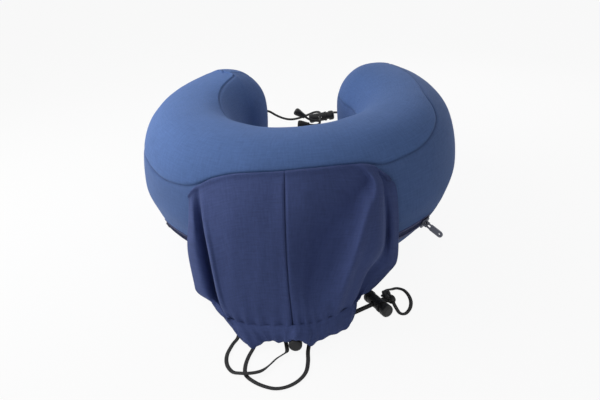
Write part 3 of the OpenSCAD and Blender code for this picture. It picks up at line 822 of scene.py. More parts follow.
def blown_up(bm, held, most):
    """Inflates a closed skin that is held along its seams, by a short cloth simulation.

    No point moves more than most.
    """
    mesh = bpy.data.meshes.new("skin")
    bm.to_mesh(mesh)
    skin = bpy.data.objects.new("skin", mesh)
    scene = bpy.context.scene
    scene.collection.objects.link(skin)
    group = skin.vertex_groups.new(name="held")
    for index, weight in held.items():
        group.add([index], weight, "REPLACE")
    cloth = skin.modifiers.new("Cloth", "CLOTH")
    for key, value in STRETCH.items():
        setattr(cloth.settings, key, value)
    cloth.settings.effector_weights.gravity = 0.0
    cloth.collision_settings.use_collision = False
    cloth.point_cache.frame_start, cloth.point_cache.frame_end = 1, BLOWN_FRAMES
    for step in range(1, BLOWN_FRAMES + 1):
        scene.frame_set(step)
    blown = skin.evaluated_get(bpy.context.evaluated_depsgraph_get()).data
    bm.verts.ensure_lookup_table()
    for v, after in zip(bm.verts, blown.vertices):
        step = after.co - v.co
        v.co += step * min(1.0, most / step.length) if step.length > 1e-9 else step
    scene.frame_set(1)
    bpy.data.objects.remove(skin)
    bpy.data.meshes.remove(mesh)


def beside(distance, width):
    """1 on a line, falling off to both sides."""
    return math.exp(-((distance / width) ** 2))


class NECKPILLOW_OT_cover(bpy.types.Operator):
    """Knitted cover: four panels that meet in seams, blown up over the foam"""

    bl_idname = "neck_pillow.cover"
    bl_label = "Cover"

    def execute(self, context):
        sizes, finish = settings().pillow, settings().finish
        layout = CoverLayout(sizes)
        bm = cover_grid(layout, STATIONS, sizes.slack)
        layers = [bm.verts.layers.float[name] for name in COVER_LAYERS]
        bm.verts.index_update()
        blown_up(bm, {v.index: self.held(v, layers, sizes) for v in bm.verts}, 2.2 * sizes.slack)
        bm.normal_update()
        for v in bm.verts:
            v.co += v.normal * self.relief(v, layers, layout)
            v.co.z = max(v.co.z, 0.0)
        for panel in ("top", "outer", "inner", "base"):
            base, slot = (finish.cover, "cover_top") if panel == "top" else (finish.cover_side, "cover_side")
            part = bm.copy()
            mark = part.faces.layers.int["panel"]
            others = [f for f in part.faces if f[mark] != PANELS.index(panel)]
            bmesh.ops.delete(part, geom=others, context="FACES")
            piece = as_piece(f"cover_{panel}", part, knit_finish(f"knit_{panel}", base))
            thicken(piece, sizes.cover_thickness, 1)
            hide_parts(f"{panel}_panel")
        bm.free()
        return {"FINISHED"}

    def held(self, v, layers, sizes):
        """How firmly a point is held while the cover is blown up: fully on a seam and on the base."""
        seams = [v[layer] for layer in layers[1:5]]
        return max(0.0, 1.0 - min(*seams, max(0.0, v.co.z - sizes.slack)) / (4 * MM))

    def relief(self, v, layers, layout):
        """How far a point stands out: seams, puckers, ridge, swell and zip lips. Also sets the painted shade
        along the seams.
        """
        station, outer, inner, zip_run, under, painted_seam_shade = layers
        sizes, degrees, height = layout.sizes, math.degrees(v[station]), v.co.z / MM
        groove = 0.0
        # Painted shade along the seams: half strength at the seam round the base, and as strong as each upper
        # seam shows.
        v[painted_seam_shade] = 0.5 * beside(v[under], MM)
        for near, shown in ((v[outer], OUTER_SHOWS), (v[inner], INNER_SHOWS)):
            shows = eased(shown, degrees)
            v[painted_seam_shade] += shows * beside(near, MM)
            ripple = math.sin(v[station] * 62) * 0.6 + math.sin(v[station] * 97 + 1) * 0.4
            groove += shows * sizes.seam_depth * beside(near, sizes.seam_width)
            groove += shows * sizes.pucker * ripple * beside(near, 5 * MM)
        below = height < eased(INNER_SEAM, degrees)
        fall = math.exp(-v[inner] / (sizes.crest_width * (2.2 if below else 1)))
        crest = sizes.crest * eased(CREST, degrees) * (fall - 0.6) * eased([(60, 0.0), (90, 1.0)], height)
        opened = layout.slit_half(v[station]) / sizes.zip_slit
        lip = sizes.zip_lip * opened * beside(v[zip_run], 4 * MM)
        closed = (1 - opened) * beside(v[zip_run], sizes.seam_width)
        closed += 0.7 * beside(v[under], sizes.seam_width)
        soft = 0.0
        if height >= 6:
            soft = noise.noise(v.co * 22.0) * 0.9 * MM
            soft += noise.noise(v.co * 55.0 + Vector((3, 1, 7))) * 0.35 * MM
        return crest + sizes.swell * eased(SWELL, height) + lip - groove - sizes.seam_depth * closed + soft


class NECKPILLOW_OT_foam(bpy.types.Operator):
    """Foam core that fills the cover"""

    bl_idname = "neck_pillow.foam"
    bl_label = "Foam core"

    def execute(self, context):
        sizes = settings().pillow
        bm = cover_grid(CoverLayout(sizes), FOAM_STATIONS, sizes.foam_inset)
        foam = as_piece("foam", bm, foam_finish("foam_cells", settings().finish.foam))
        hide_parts("foam_core")
        return {"FINISHED"}


# The zip


# How far a tape lies back from its teeth's tips, how far the teeth stop before its end, and points in a turn.
TAPE_EDGE, COIL_STOP, COIL_POINTS = 0.4 * MM, 3.2 * MM, 7


class ZipLine:
    """Places along the zip: out of the surface, up the section, and round the neck."""

    def __init__(self, sizes):
        shape = PadShape(sizes)
        angle = shape.angle_at(sizes.zip_height)
        x, self.z = shape.section(angle)
        low, high = shape.section(angle - 0.01), shape.section(angle + 0.01)
        self.radius = shape.ring + x
        self.up = Vector((high[0] - low[0], high[1] - low[1])).normalized()

    def point(self, angle, out, climb):
        """Point at an angle round the neck, in the zip's own directions."""
        r = self.radius + self.up.x * climb + self.up.y * out
        z = self.z + self.up.y * climb - self.up.x * out
        return Vector((r * math.sin(angle), -r * math.cos(angle), z))


class NECKPILLOW_OT_zip(bpy.types.Operator):
    """Zip: woven tapes with nylon coils; slider, pull and stops get a metal finish"""

    bl_idname = "neck_pillow.zip"
    bl_label = "Zip"

    def execute(self, context):
        sizes, finish = settings().zip, settings().finish
        line = ZipLine(settings().pillow)
        half = settings().pillow.zip_half_angle
        cloth = tape_finish("zip_tape", finish.tape)
        coil_cloth = elastic_finish("zip_coil", finish.tape, sizes.coil_pitch)
        for side, name in ((1, "upper"), (-1, "lower")):
            bm = grid(110, 4)
            uv = bm.loops.layers.uv.new(CLOTH_UV)
            for v in bm.verts:
                angle = half * (2 * v.co.x - 1)
                climb = side * (sizes.row_space / 2 + TAPE_EDGE + (sizes.tape_width - TAPE_EDGE) * v.co.y)
                for loop in v.link_loops:
                    loop[uv].uv = (angle * line.radius, climb)
                v.co = line.point(angle, 0.0, climb)
            if side < 0:
                bmesh.ops.reverse_faces(bm, faces=bm.faces)
            tape = as_piece(f"zip_tape_{name}", bm, cloth)
            thicken(tape, sizes.tape_thickness, 0)
            bm = bmesh.new()
            teeth = self.coil(line, half - COIL_STOP / line.radius, side, sizes)
            sweep(bm, teeth, sizes.wire, sizes.wire, sides=5)
            coil = as_piece(f"zip_coil_{name}", bm, coil_cloth)
            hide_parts(f"zip_{name}_chain")
            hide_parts(f"zip_{name}_chain")
        metal = metal_finish("zip_metal", finish.metal, 0.3)
        dress(["zip_stops", "zip_slider", "zip_pull"], metal)
        return {"FINISHED"}

    def coil(self, line, reach, side, sizes):
        """Path of a row of teeth: one filament, wound to and fro along its tape."""
        turns = int(2 * reach * line.radius / sizes.coil_pitch)
        swing, rise = (sizes.coil_width - sizes.wire) / 2, (sizes.coil_height - sizes.wire) / 2
        path = []
        for k in range(turns * COIL_POINTS + 1):
            a = k / COIL_POINTS * math.tau
            climb = side * (sizes.row_space / 2 + sizes.coil_width / 2 - swing * math.cos(a))
            out = sizes.coil_height / 2 + rise * math.sin(a)
            path.append(line.point(-reach + 2 * reach * k / (turns * COIL_POINTS), out, climb))
        return path


# The pouch


BACK_WALL = (0.0, -145.0, 0.0)
# Height of the pouch's sewn top edge in millimetres, by its place from the left (-1) to the right end (1).
TOP_EDGE = [
    (-1.0, 88.0), (-0.94, 94.5), (-0.86, 98.5), (-0.72, 104.8), (-0.45, 110.0), (0.0, 112.3), (0.35, 112.8),
    (0.65, 111.8), (0.85, 108.6), (0.94, 103.0), (1.0, 96.0),
]
# Lines down the hanging cloth, by place across, read off along the folds in the photograph.
# Each point has its place down, from the sewn edge to the hem, its place in the picture, which is enlarged
# and counted from a corner at the pouch's upper left, and its depth along Y in millimetres.
PICK_CORNER, PICK_SCALE = (170, 150), 6
FOLD_LINES = [
    (-1, [
        (0.25, 107, 400, -127.5), (0.5, 105, 600, -133), (0.7, 144, 795, -140), (0.8, 166, 855, -144),
        (0.9, 250, 912, -158), (1, 342, 988, -176),
    ]),
    (-0.965, [
        (0.25, 134, 408, -136.5), (0.5, 148, 612, -144.5), (0.7, 186, 803, -152), (0.8, 208, 868, -156),
        (0.9, 270, 925, -165.5), (1, 341, 991, -177),
    ]),
    (-0.93, [
        (0.25, 164, 416, -135.5), (0.5, 197, 628, -143.5), (0.7, 233, 815, -152), (0.8, 254, 884, -157),
        (0.9, 292, 942, -168), (1, 341, 994, -177.5),
    ]),
    (-0.885, [
        (0.25, 203, 424, -132.5), (0.5, 247, 644, -136.5), (0.7, 283, 830, -146), (0.8, 300, 903, -155),
        (0.9, 319, 958, -169), (1, 344, 999, -179),
    ]),
    (-0.86, [
        (0.25, 190, 420, -148), (0.5, 232, 640, -164), (0.7, 270, 825, -173), (0.8, 290, 900, -176.5),
        (0.9, 314, 957, -178.5), (1, 346, 1001, -180),
    ]),
    (-0.78, [
        (0.25, 236, 412, -152), (0.5, 272, 634, -168), (0.75, 315, 856, -179), (0.9, 350, 968, -183),
        (1, 376, 1016, -184),
    ]),
    (-0.5, [
        (0.25, 400, 365, -157), (0.5, 425, 590, -172), (0.75, 455, 820, -183), (0.9, 475, 960, -187.5),
        (1, 490, 1046, -190),
    ]),
    (0, [
        (0.25, 690, 360, -159), (0.5, 697, 590, -174), (0.75, 712, 820, -185), (0.9, 726, 960, -191),
        (1, 735, 1050, -195),
    ]),
    (0.2, [
        (0.25, 830, 352, -157), (0.5, 805, 588, -165.5), (0.75, 785, 818, -181), (0.9, 795, 958, -190),
        (1, 806, 1044, -194),
    ]),
    (0.42, [
        (0.1, 975, 200, -138.5), (0.25, 1000, 345, -146.5), (0.5, 940, 585, -157),
        (0.75, 872, 815, -175.5), (0.9, 872, 955, -187), (1, 882, 1034, -191.5),
    ]),
    (0.58, [
        (0.1, 1116, 196, -131), (0.25, 1120, 342, -142), (0.5, 1056, 588, -164.5), (0.75, 980, 812, -179),
        (0.9, 960, 930, -184.5), (1, 955, 1005, -187),
    ]),
    (0.68, [
        (0.1, 1188, 192, -129.5), (0.25, 1180, 340, -152), (0.5, 1122, 590, -174), (0.75, 1052, 810, -184),
        (0.9, 1020, 920, -184.5), (1, 1000, 985, -183.5),
    ]),
    (0.76, [
        (0.1, 1230, 192, -136), (0.25, 1226, 336, -151), (0.5, 1180, 570, -167.5), (0.75, 1100, 790, -176),
        (0.9, 1064, 895, -178), (1, 1050, 955, -177.5),
    ]),
    (0.87, [
        (0.1, 1278, 196, -130), (0.25, 1276, 330, -142.5), (0.5, 1274, 545, -156), (0.65, 1250, 632, -161),
        (0.75, 1180, 745, -164.5), (0.9, 1128, 868, -167.5), (1, 1100, 918, -168),
    ]),
    (0.91, [
        (0.25, 1290, 328, -127.5), (0.5, 1292, 540, -133), (0.65, 1262, 645, -142),
        (0.75, 1172, 742, -148), (0.9, 1122, 866, -155), (1, 1106, 914, -163),
    ]),
    (0.95, [
        (0.25, 1324, 327, -127.5), (0.5, 1330, 535, -136), (0.65, 1314, 660, -139.5),
        (0.75, 1244, 742, -143.5), (0.9, 1174, 834, -151), (1, 1142, 878, -157),
    ]),
    (1, [
        (0.12, 1347, 205, -119), (0.25, 1368, 330, -121.5), (0.5, 1372, 530, -128),
        (0.65, 1362, 672, -132), (0.75, 1310, 740, -136), (0.9, 1240, 810, -142.5), (1, 1202, 838, -146),
    ]),
]
# Half width and drop of the flat cloth, for its weave, and steps of its mesh down and along the hem.
CLOTH_HALF, CLOTH_DROP = 80 * MM, 145 * MM
CLOTH_ROWS, HEM_STEPS = 84, 195
# Where the hem's channel ends beside the strap, and the hem's lower edge in millimetres, by place across.
HEM_END = 0.93
HEM_FOOT = [
    (-1.0, (-36.6, -188.0, 3.0)), (-0.85, (-31.6, -195.3, 2.0)), (-0.7, (-26.2, -200.9, 1.6)),
    (-0.55, (-20.8, -198.1, 3.5)), (-0.38, (-14.1, -196.4, 5.0)), (-0.2, (-6.4, -198.9, 5.5)),
    (-0.05, (0.0, -201.0, 8.0)), (0.1, (6.0, -204.5, 12.5)), (0.25, (12.8, -202.9, 8.0)),
    (0.35, (15.2, -200.4, 3.0)), (0.5, (22.5, -192.6, 2.0)), (0.65, (32.9, -186.3, 2.0)),
    (0.8, (40.9, -181.4, 2.0)), (0.92, (45.4, -175.4, 3.0)), (1.0, (48.1, -167.4, 4.4)),
]


class PouchShape:
    """The pouch's hanging cloth, by place across (-1 to 1) and down (0 to 1, and a little past the hem)."""

    def __init__(self, pad, sizes):
        self.pad, self.sizes = pad, sizes
        self.view = PhotoView()
        self.lines = [
            (at, [(0.0, self.top(at)), *(self.picked(*pick) for pick in picks)]) for at, picks in FOLD_LINES
        ]
        self.foot = [(at, Vector(p) * MM) for at, p in HEM_FOOT]
        self.rows = {}

    def top(self, u):
        """Point on the cover where the cloth is sewn in."""
        off = self.sizes.cover_clear + self.sizes.side_gap + 2 * self.sizes.cloth
        angle = self.sizes.half_angle * u
        x, height = self.pad.section(self.pad.angle_at(through(TOP_EDGE, u) * MM), -off)
        r = self.pad.ring + x
        return Vector((r * math.sin(angle), -r * math.cos(angle), height))

    def picked(self, down, x, y, depth):
        """Place down, and the point in space, of a point of a fold line."""
        pixel = [corner + at / PICK_SCALE for corner, at in zip(PICK_CORNER, (x, y))]
        return down, self.view.at_depth(*pixel, depth * MM)

    def bare(self, u, v):
        """Point on the cloth before its small creases."""
        if v > 1.0:
            return self.bare(u, 1.0) + (self.bare(u, 1.0) - self.bare(u, 0.97)) * ((v - 1.0) / 0.03)
        if v == 0.0:
            return self.top(u)
        if v not in self.rows:
            self.rows[v] = [(at, through(points, v)) for at, points in self.lines]
        return through(self.rows[v], u)

    def normal(self, u, v):
        tiny = 0.01
        down = self.bare(u, min(1.0, v + tiny)) - self.bare(u, max(0.0, v - tiny))
        across = self.bare(min(1.0, u + tiny), v) - self.bare(max(-1.0, u - tiny), v)
        return down.cross(across).normalized()

    def gather(self, u):
        """Gathers of the hem, from -1 to 1."""
        s = (u + 1) / 2
        return math.cos(math.tau * self.sizes.gathers * s + 0.8 * math.sin(9 * s))

    def fold(self, u, v):
        """Small creases: slack in the cloth, the seam's pucker and gathers above the hem."""
        slack = noise.noise(Vector((u * 3.2, v * 1.4, 4.0))) * 1.6
        slack += noise.noise(Vector((u * 9.0, v * 3.5, 1.0))) * 0.5
        seam = 0.5 * beside(u, 0.07) - 1.3 * beside(u, 0.014)
        hem = 0.9 * self.gather(u) * math.exp(-(max(0.0, 1 - v) / 0.07))
        ends = max(0.0, math.sin(math.pi * min(v, 1.0))) ** 0.7
        rim = 1.5 * beside(v - 0.014, 0.012)
        return (slack * ends + seam * min(1.0, 8 * v) + hem + rim) * MM

    def depth(self, u, v):
        """Distance from the front face to the back layer."""
        opened = (1 - abs(u) ** 3) * (1 - max(0.0, 1 - v) ** 3)
        return self.sizes.cloth + self.sizes.side_gap + (self.sizes.layer_gap - self.sizes.side_gap) * opened

    def point(self, u, v):
        """Front face of the cloth. Where it would sink into the cover it lies on it."""
        p = self.bare(u, v) + self.normal(u, min(v, 1.0)) * self.fold(u, v)
        least = self.pad.wall_radius(p.z, self.sizes.cover_clear + self.depth(u, v) + self.sizes.cloth)
        r = math.hypot(p.x, p.y)
        if r < least:
            p.x, p.y = p.x * least / r, p.y * least / r
        return p


class NECKPILLOW_OT_pouch(bpy.types.Operator):
    """Drawstring pouch: two front panels, a back panel and a gathered hem"""

    bl_idname = "neck_pillow.pouch"
    bl_label = "Pouch"

    def execute(self, context):
        sizes = settings().pouch
        pouch = PouchShape(PadShape(settings().pillow), sizes)
        cloth = woven_finish("pouch_weave", settings().finish.pouch)
        for place, start, end, columns, behind in (
            ("front_left", -1.0, -0.002, 88, False),
            ("front_right", 0.002, 1.0, 88, False),
            ("back", -1.0, 1.0, 90, True),
        ):
            bm = grid(columns, CLOTH_ROWS)
            uv = bm.loops.layers.uv.new(CLOTH_UV)
            depth = bm.verts.layers.float.new("depth")
            for v in bm.verts:
                u = start + (end - start) * v.co.x
                down = v.co.y * eased([(0.85, 1.05), (0.94, 1.0)], u)
                for loop in v.link_loops:
                    loop[uv].uv = (u * CLOTH_HALF, down * CLOTH_DROP)
                v[depth] = pouch.depth(u, down) if behind else 0.0
                v.co = pouch.point(u, down)
            bmesh.ops.reverse_faces(bm, faces=bm.faces)
            bm.normal_update()
            for v in bm.verts:
                v.co -= v.normal * v[depth]
            piece = as_piece(f"pouch_cloth_{place}", bm, cloth)
            thicken(piece, sizes.cloth, 0 if behind else 1)
            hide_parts(f"pouch_{place}")
        spots = [(HEM_END + 1) * k / HEM_STEPS - 1 for k in range(HEM_STEPS + 1)]
        path = [pouch.bare(u, 1.0).lerp(through(pouch.foot, u), 0.5) for u in spots]
        bm = bmesh.new()
        sweep(bm, path, 2 * sizes.hem_half, 2 * sizes.hem_half, sides=28)
        self.shape_hem(bm, pouch, path_length(path), sizes)
        hem = as_piece("pouch_channel", bm, cloth)
        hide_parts("pouch_hem")
        return {"FINISHED"}

    def shape_hem(self, bm, pouch, whole, sizes):
        """Turns the plain roll into a flat, puckered channel between the hem's stitches and its foot."""
        side, run = bm.verts.layers.float["side"], bm.verts.layers.float["run"]
        uv = bm.loops.layers.uv.new(CLOTH_UV)
        for v in bm.verts:
            u = (HEM_END + 1) * v[run] / whole - 1
            top = pouch.bare(u, 1.0 - 0.07 * max(0.0, -u - 0.8) / 0.2)
            foot = through(pouch.foot, u)
            way = through(pouch.foot, min(1.0, u + 0.02)) - through(pouch.foot, max(-1.0, u - 0.02))
            down = foot - top
            out = way.cross(down).normalized()
            around = v[side] * math.tau
            drop, bulge = -math.sin(around), math.cos(around)
            bulge = math.copysign(abs(bulge) ** (1.9 if drop < 0 else 1.0), bulge)
            narrow = 0.6 + 0.4 * math.sqrt(max(0.0, 1 - u * u))
            gather = pouch.gather(u)
            full = sizes.hem_half * narrow * (1 + sizes.gather_share * gather * (0.6 + 0.4 * drop))
            hang = 0.4 * MM * gather * max(0.0, drop)
            for loop in v.link_loops:
                loop[uv].uv = (v[run], CLOTH_DROP + down.length * (0.5 + drop / 2))
            v.co = top + down * (0.5 + 0.5 * drop) + down.normalized() * hang + out * full * bulge
            v.co.z = max(v.co.z, 0.2 * MM)
        bmesh.ops.recalc_face_normals(bm, faces=bm.faces)


# The elastics


# Routes of the elastics in millimetres. Those of the pouch are counted from the back wall.
LOOP_LEFT = [
    (-38.5, -39.5, 4.6), (-39.5, -44, 1.6), (-42.5, -50, 0.8), (-45, -61, 0.7), (-43.5, -71, 0.7),
    (-38.5, -78.5, 1), (-32, -81.5, 2.4), (-25, -81.5, 2.4), (-18, -79, 2), (-12.8, -73, 1.6),
    (-8.4, -66.4, 1.5), (-3.8, -61.6, 1.3), (-1.3, -58.4, 1.2), (-1.9, -53.4, 2.2), (-2.8, -49.4, 4),
    (-1.6, -46.8, 5.2), (4.9, -46.5, 5.3),
]
LOOP_RIGHT = [
    (-24, -49, 5), (-26, -54.5, 1.8), (-29, -63.5, 0.7), (-30, -73, 0.7), (-28.5, -81.5, 0.7),
    (-22, -88, 0.7), (-14, -92.5, 0.7), (-6, -94.5, 0.7), (2, -92.5, 0.7), (9, -87, 0.7), (13.5, -79, 0.7),
    (14.5, -69, 0.7), (14, -59, 0.8), (14.5, -53, 2), (14.5, -48.8, 4), (12, -46.6, 5.2), (5.1, -46.5, 5.3),
]
# How far the left loop is rolled, in degrees, along its run.
LOOP_ROLL = [(0.48, 0), (0.57, -40), (0.7, -40), (0.78, 0)]
SIDE_RING = [
    (72.8, 3.8, 6.4), (75.4, 7.6, 5), (78.8, 11.8, 2.4), (83.2, 15, 0.9), (88.4, 12.8, 0.7), (91.8, 6, 0.7),
    (93, -2.5, 0.7), (91.4, -11, 0.7), (87.4, -17, 0.7), (83.2, -16.8, 1.2), (80.4, -12.4, 3.4),
    (78.4, -8, 5.6),
]
SIDE_STRAP = [(38.64, -26.95, 5.3), (49.42, -19.68, 5.3), (61.15, -11.77, 5.3), (72.88, -3.86, 5.3)]
STRAND_RISE = 0.75
# Middle of the knot, its turn in degrees, its coils' sizes, its strand's width and thickness, and steps.
SIDE_KNOT = (75.12, -2.35, 5.9)
SIDE_TURN = 34
KNOT_REACH, KNOT_STRAND, KNOT_STEPS = (0.9, 2.3, 1.7), (3.3 * MM, 2.3 * MM), 96
CLOSURE_LEFT = [
    (-50.3, 88.6, 70.6), (-45.4, 93.3, 71), (-42, 96.5, 71), (-37.5, 100.5, 68), (-32, 104, 62.6),
    (-25, 107, 57.6), (-17, 109.5, 54.6), (-8, 112.6, 54.4), (2, 116.6, 56.2), (9, 118.6, 58.2),
    (14.4, 116.8, 59.25), (16.5, 112, 59.25), (16.5, 105, 59.25), (16.5, 92, 59.25), (14.8, 87.6, 60.6),
    (10.6, 85.6, 62.2),
    (5.6, 85.2, 64), (1.4, 85.2, 67),
]
CLOSURE_RIGHT = [
    (50, 88.2, 63.8), (45.4, 93.3, 64), (43, 96.5, 64.2), (41.6, 102, 63.4), (39.6, 108.6, 61),
    (35.4, 114.6, 58.8), (29.4, 118.2, 57.4), (22.6, 118.8, 56.75), (18.2, 116.6, 56.75), (16.5, 112, 56.75),
    (16.5, 105, 56.75), (16.5, 92, 56.75), (14.8, 87.4, 56.6), (10.6, 85, 57), (5.6, 84.6, 57.8),
]


def laid_cord(name, route, wide, thick, material, node, origin=(0, 0, 0), rolls=None, power=2.0):
    """An elastic along a route, standing for its solid. Returns the piece and its path."""
    path = smooth_route(route, 5, origin)
    bm = bmesh.new()
    sweep(bm, path, wide, thick, rolls=rolls, power=power)
    piece = as_piece(name, bm, material)
    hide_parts(node)
    return piece, path


class NECKPILLOW_OT_pouch_elastics(bpy.types.Operator):
    """Flat elastics of the pouch: two loops, the side strap, its knot and the finger ring"""

    bl_idname = "neck_pillow.pouch_elastics"
    bl_label = "Pouch elastics"

    def execute(self, context):
        sizes = settings().cords
        wide, thick = sizes.elastic_width, sizes.elastic_thickness
        braid = elastic_finish("flat_elastic", settings().finish.elastic, 1.3 * MM)
        for side, route, far_end, ends, rolls in (
            ("left", LOOP_LEFT, "fitting", ["front_lock_barrel"], LOOP_ROLL),
            ("right", LOOP_RIGHT, "object", [], None),
        ):
            node, name = f"pouch_loop_{side}", f"elastic_loop_{side}"
            loop, path = laid_cord(name, route, wide, thick, braid, node, BACK_WALL, rolls, power=3.0)
            path_length(path)
        bm = bmesh.new()
        for rise in (STRAND_RISE, -STRAND_RISE):
            strand = [(x, y, z + rise) for x, y, z in SIDE_STRAP]
            sweep(bm, smooth_route(strand, 6, BACK_WALL), wide, thick, power=3.0)
        strap = as_piece("side_strap", bm, braid)
        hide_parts("side_strand_upper", "side_strand_lower")
        knot = self.knot(braid)
        ring, path = laid_cord(
            "finger_ring", SIDE_RING, wide, thick, braid, "side_ring", BACK_WALL, power=3.0
        )
        path_length(path)
        return {"FINISHED"}

    def knot(self, braid):
        """A pulled tight overhand knot of the same elastic."""
        centre = (Vector(BACK_WALL) + Vector(SIDE_KNOT)) * MM
        turn_in = Matrix.Rotation(math.radians(SIDE_TURN), 3, "Z")
        bm = bmesh.new()
        for phase, high in ((0.0, 1.0), (math.pi / 3, -1.0)):
            path = []
            for k in range(KNOT_STEPS + 1):
                a = math.tau * k / KNOT_STEPS
                p = Vector((
                    (math.sin(a) + 2 * math.sin(2 * a)) * KNOT_REACH[0],
                    (math.cos(a + phase) - 2 * math.cos(2 * a + phase)) * KNOT_REACH[1],
                    -math.sin(3 * a) * KNOT_REACH[2] * high,
                ))
                path.append(centre + turn_in @ p * MM)
            sweep(bm, path, *KNOT_STRAND)
        piece = as_piece("strap_knot", bm, braid)
        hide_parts("side_knot")
        return piece


class NECKPILLOW_OT_closure(bpy.types.Operator):
    """Round elastics between the arm ends, and the cups on their ends"""

    bl_idname = "neck_pillow.closure"
    bl_label = "Closure"

    def execute(self, context):
        round_cord = settings().cords.cord
        braid = elastic_finish("round_elastic", settings().finish.elastic, 1.5 * MM)
        for side, route in (("left", CLOSURE_LEFT), ("right", CLOSURE_RIGHT)):
            node = f"closure_cord_{side}"
            cord, path = laid_cord(f"closure_elastic_{side}", route, round_cord, round_cord, braid, node)
            path_length(path)
        plastic = plastic_finish("cord_end_plastic", settings().finish.plastic)
        dress(["cord_end_left", "cord_end_right"], plastic)
        return {"FINISHED"}


# Each lock: the middle of its cord hole in millimetres, the way its button comes out, and its body.
LOCKS = {
    "front": ((5.0, -191.5, 5.3), (0.0, 1.0, 0.0), BODY),
    "side": ((66.0, -153.5, 5.3), (0.5592, -0.829, 0.0), "side_lock"),
    "closure": ((16.5, 105.0, 58.0), (0.9903, 0.0, 0.1392), "closure_lock"),
}


class NECKPILLOW_OT_locks(bpy.types.Operator):
    """Sprung cord locks: moulded plastic and spring steel"""

    bl_idname = "neck_pillow.locks"
    bl_label = "Cord locks"

    def execute(self, context):
        finish, sizes = settings().finish, settings().locks
        plastic = plastic_finish("lock_plastic", finish.plastic)
        steel = metal_finish("spring_steel", finish.steel, 0.22)
        for lock, (place, way, body) in LOCKS.items():
            dress([f"{lock}_lock_barrel", f"{lock}_lock_button"], plastic)
            place, way = Vector(place) * MM, Vector(way).normalized()
            spring = as_piece(f"{lock}_coil", self.coil(place, way, sizes), steel)
            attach(spring, body)
            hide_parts(f"{lock}_lock_spring")
            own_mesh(spring)
        return {"FINISHED"}

    def coil(self, place, way, sizes):
        """An open coil round the button's way."""
        side = way.cross(Vector((0, 0, 1)))
        bm = bmesh.new()
        ring = bmesh.ops.create_circle(bm, segments=12, radius=sizes.spring_wire / 2)["verts"]
        start = place - way * sizes.spring_seat + side * sizes.spring_radius
        for v in ring:
            v.co = start + side * v.co.x + way * v.co.y
        steps = 28 * sizes.spring_turns
        bmesh.ops.spin(
            bm, geom=bm.verts[:] + bm.edges[:], cent=place, axis=way, dvec=way * sizes.spring_length / steps,
            angle=math.tau * sizes.spring_turns, steps=steps,
        )
        bmesh.ops.holes_fill(bm, edges=[e for e in bm.edges if e.is_boundary], sides=0)
        bmesh.ops.recalc_face_normals(bm, faces=bm.faces)
        return bm


# The stage


# Each light's place, width and power in watts, and the point that they shine at.
LIGHTS = {
    "key": ((-0.37, -0.03, 0.37), 0.42, 1.5),
    "fill": ((-0.4, -1.5, 0.45), 1.4, 3.5),
    "top": ((0.2, 0.1, 0.9), 0.6, 0.3),
    "back": ((0.26, 0.38, 0.26), 0.2, 0.3),
}
LIGHT_AIM = Vector((0.0, 0.0, 0.05))
FLOOR_HALF, FLOOR_DROP = 6.0, 0.6 * MM


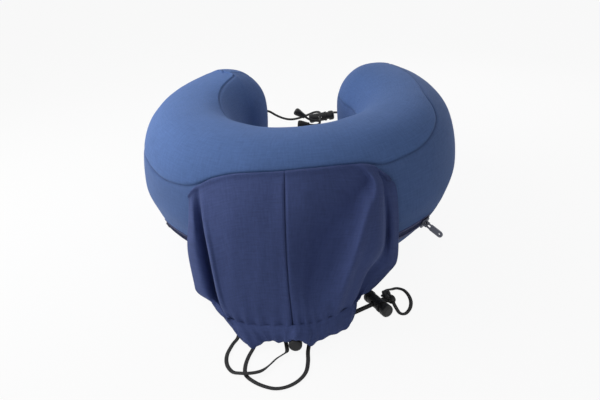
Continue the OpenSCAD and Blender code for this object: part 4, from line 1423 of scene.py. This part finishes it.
class NECKPILLOW_OT_stage(bpy.types.Operator):
    """Plain pale floor, soft studio light and the camera"""

    bl_idname = "neck_pillow.stage"
    bl_label = "Stage"

    def execute(self, context):
        scene = context.scene
        scene.view_settings.view_transform = "Standard"
        self.camera(scene)
        bm = bmesh.new()
        bmesh.ops.create_grid(bm, x_segments=4, y_segments=4, size=FLOOR_HALF)
        bmesh.ops.translate(bm, verts=bm.verts, vec=(0.0, 0.0, -FLOOR_DROP))
        mesh = bpy.data.meshes.new("floor")
        bm.to_mesh(mesh)
        bm.free()
        mesh.materials.append(floor_finish("floor_pale", settings().finish.floor))
        floor = bpy.data.objects.new("floor", mesh)
        scene.collection.objects.link(floor)
        for name, (place, width, power) in LIGHTS.items():
            self.light(name, place, width, power)
        scene.world = studio_world("studio")
        return {"FINISHED"}

    def camera(self, scene):
        view, data = PhotoView(), bpy.data.cameras.new("camera")
        data.sensor_width = SENSOR
        data.lens = FOCAL / IMAGE_WIDTH * SENSOR
        data.shift_x, data.shift_y = VIEW_SHIFT
        data.clip_start, data.clip_end = 0.01, 50.0
        camera = bpy.data.objects.new("camera", data)
        scene.collection.objects.link(camera)
        turned = Matrix((view.across, view.up, view.back)).transposed().to_4x4()
        camera.matrix_world = Matrix.Translation(view.eye) @ turned
        scene.camera = camera

    def light(self, name, place, width, power):
        data = bpy.data.lights.new(name, "AREA")
        data.shape, data.size, data.energy = "SQUARE", width, power
        lamp = bpy.data.objects.new(name, data)
        lamp.location = place
        lamp.rotation_euler = (LIGHT_AIM - Vector(place)).to_track_quat("-Z", "Y").to_euler()
        bpy.context.scene.collection.objects.link(lamp)


OPERATORS = (
    NECKPILLOW_OT_stage,
    NECKPILLOW_OT_pouch_elastics,
    NECKPILLOW_OT_closure,
    NECKPILLOW_OT_foam,
    NECKPILLOW_OT_cover,
    NECKPILLOW_OT_zip,
    NECKPILLOW_OT_pouch,
    NECKPILLOW_OT_locks,
)


class NECKPILLOW_PT_panel(bpy.types.Panel):
    """Lists the pillow's sizes and the pieces that can be built"""

    bl_label = "Neck Pillow"
    bl_idname = "NECKPILLOW_PT_panel"
    bl_space_type = "VIEW_3D"
    bl_region_type = "UI"
    bl_category = "Neck Pillow"

    def draw(self, context):
        for group in PillowSettings.__annotations__:
            box = self.layout.box()
            box.label(text=group.title())
            values = getattr(context.scene.neck_pillow, group)
            for name in values.__annotations__:
                box.prop(values, name)
        for operator in OPERATORS:
            self.layout.operator(operator.bl_idname)


GROUPS = (PillowSizes, ZipSizes, PouchSizes, CordSizes, LockSizes, Finishes, PillowSettings)
CLASSES = (*GROUPS, *OPERATORS, NECKPILLOW_PT_panel)


def register():
    for cls in CLASSES:
        bpy.utils.register_class(cls)
    bpy.types.Scene.neck_pillow = PointerProperty(type=PillowSettings)


def unregister():
    del bpy.types.Scene.neck_pillow
    for cls in reversed(CLASSES):
        bpy.utils.unregister_class(cls)


def main():
    register()
    for operator in OPERATORS:
        group, name = operator.bl_idname.split(".")
        getattr(getattr(bpy.ops, group), name)()


if __name__ == "__main__":
    main()
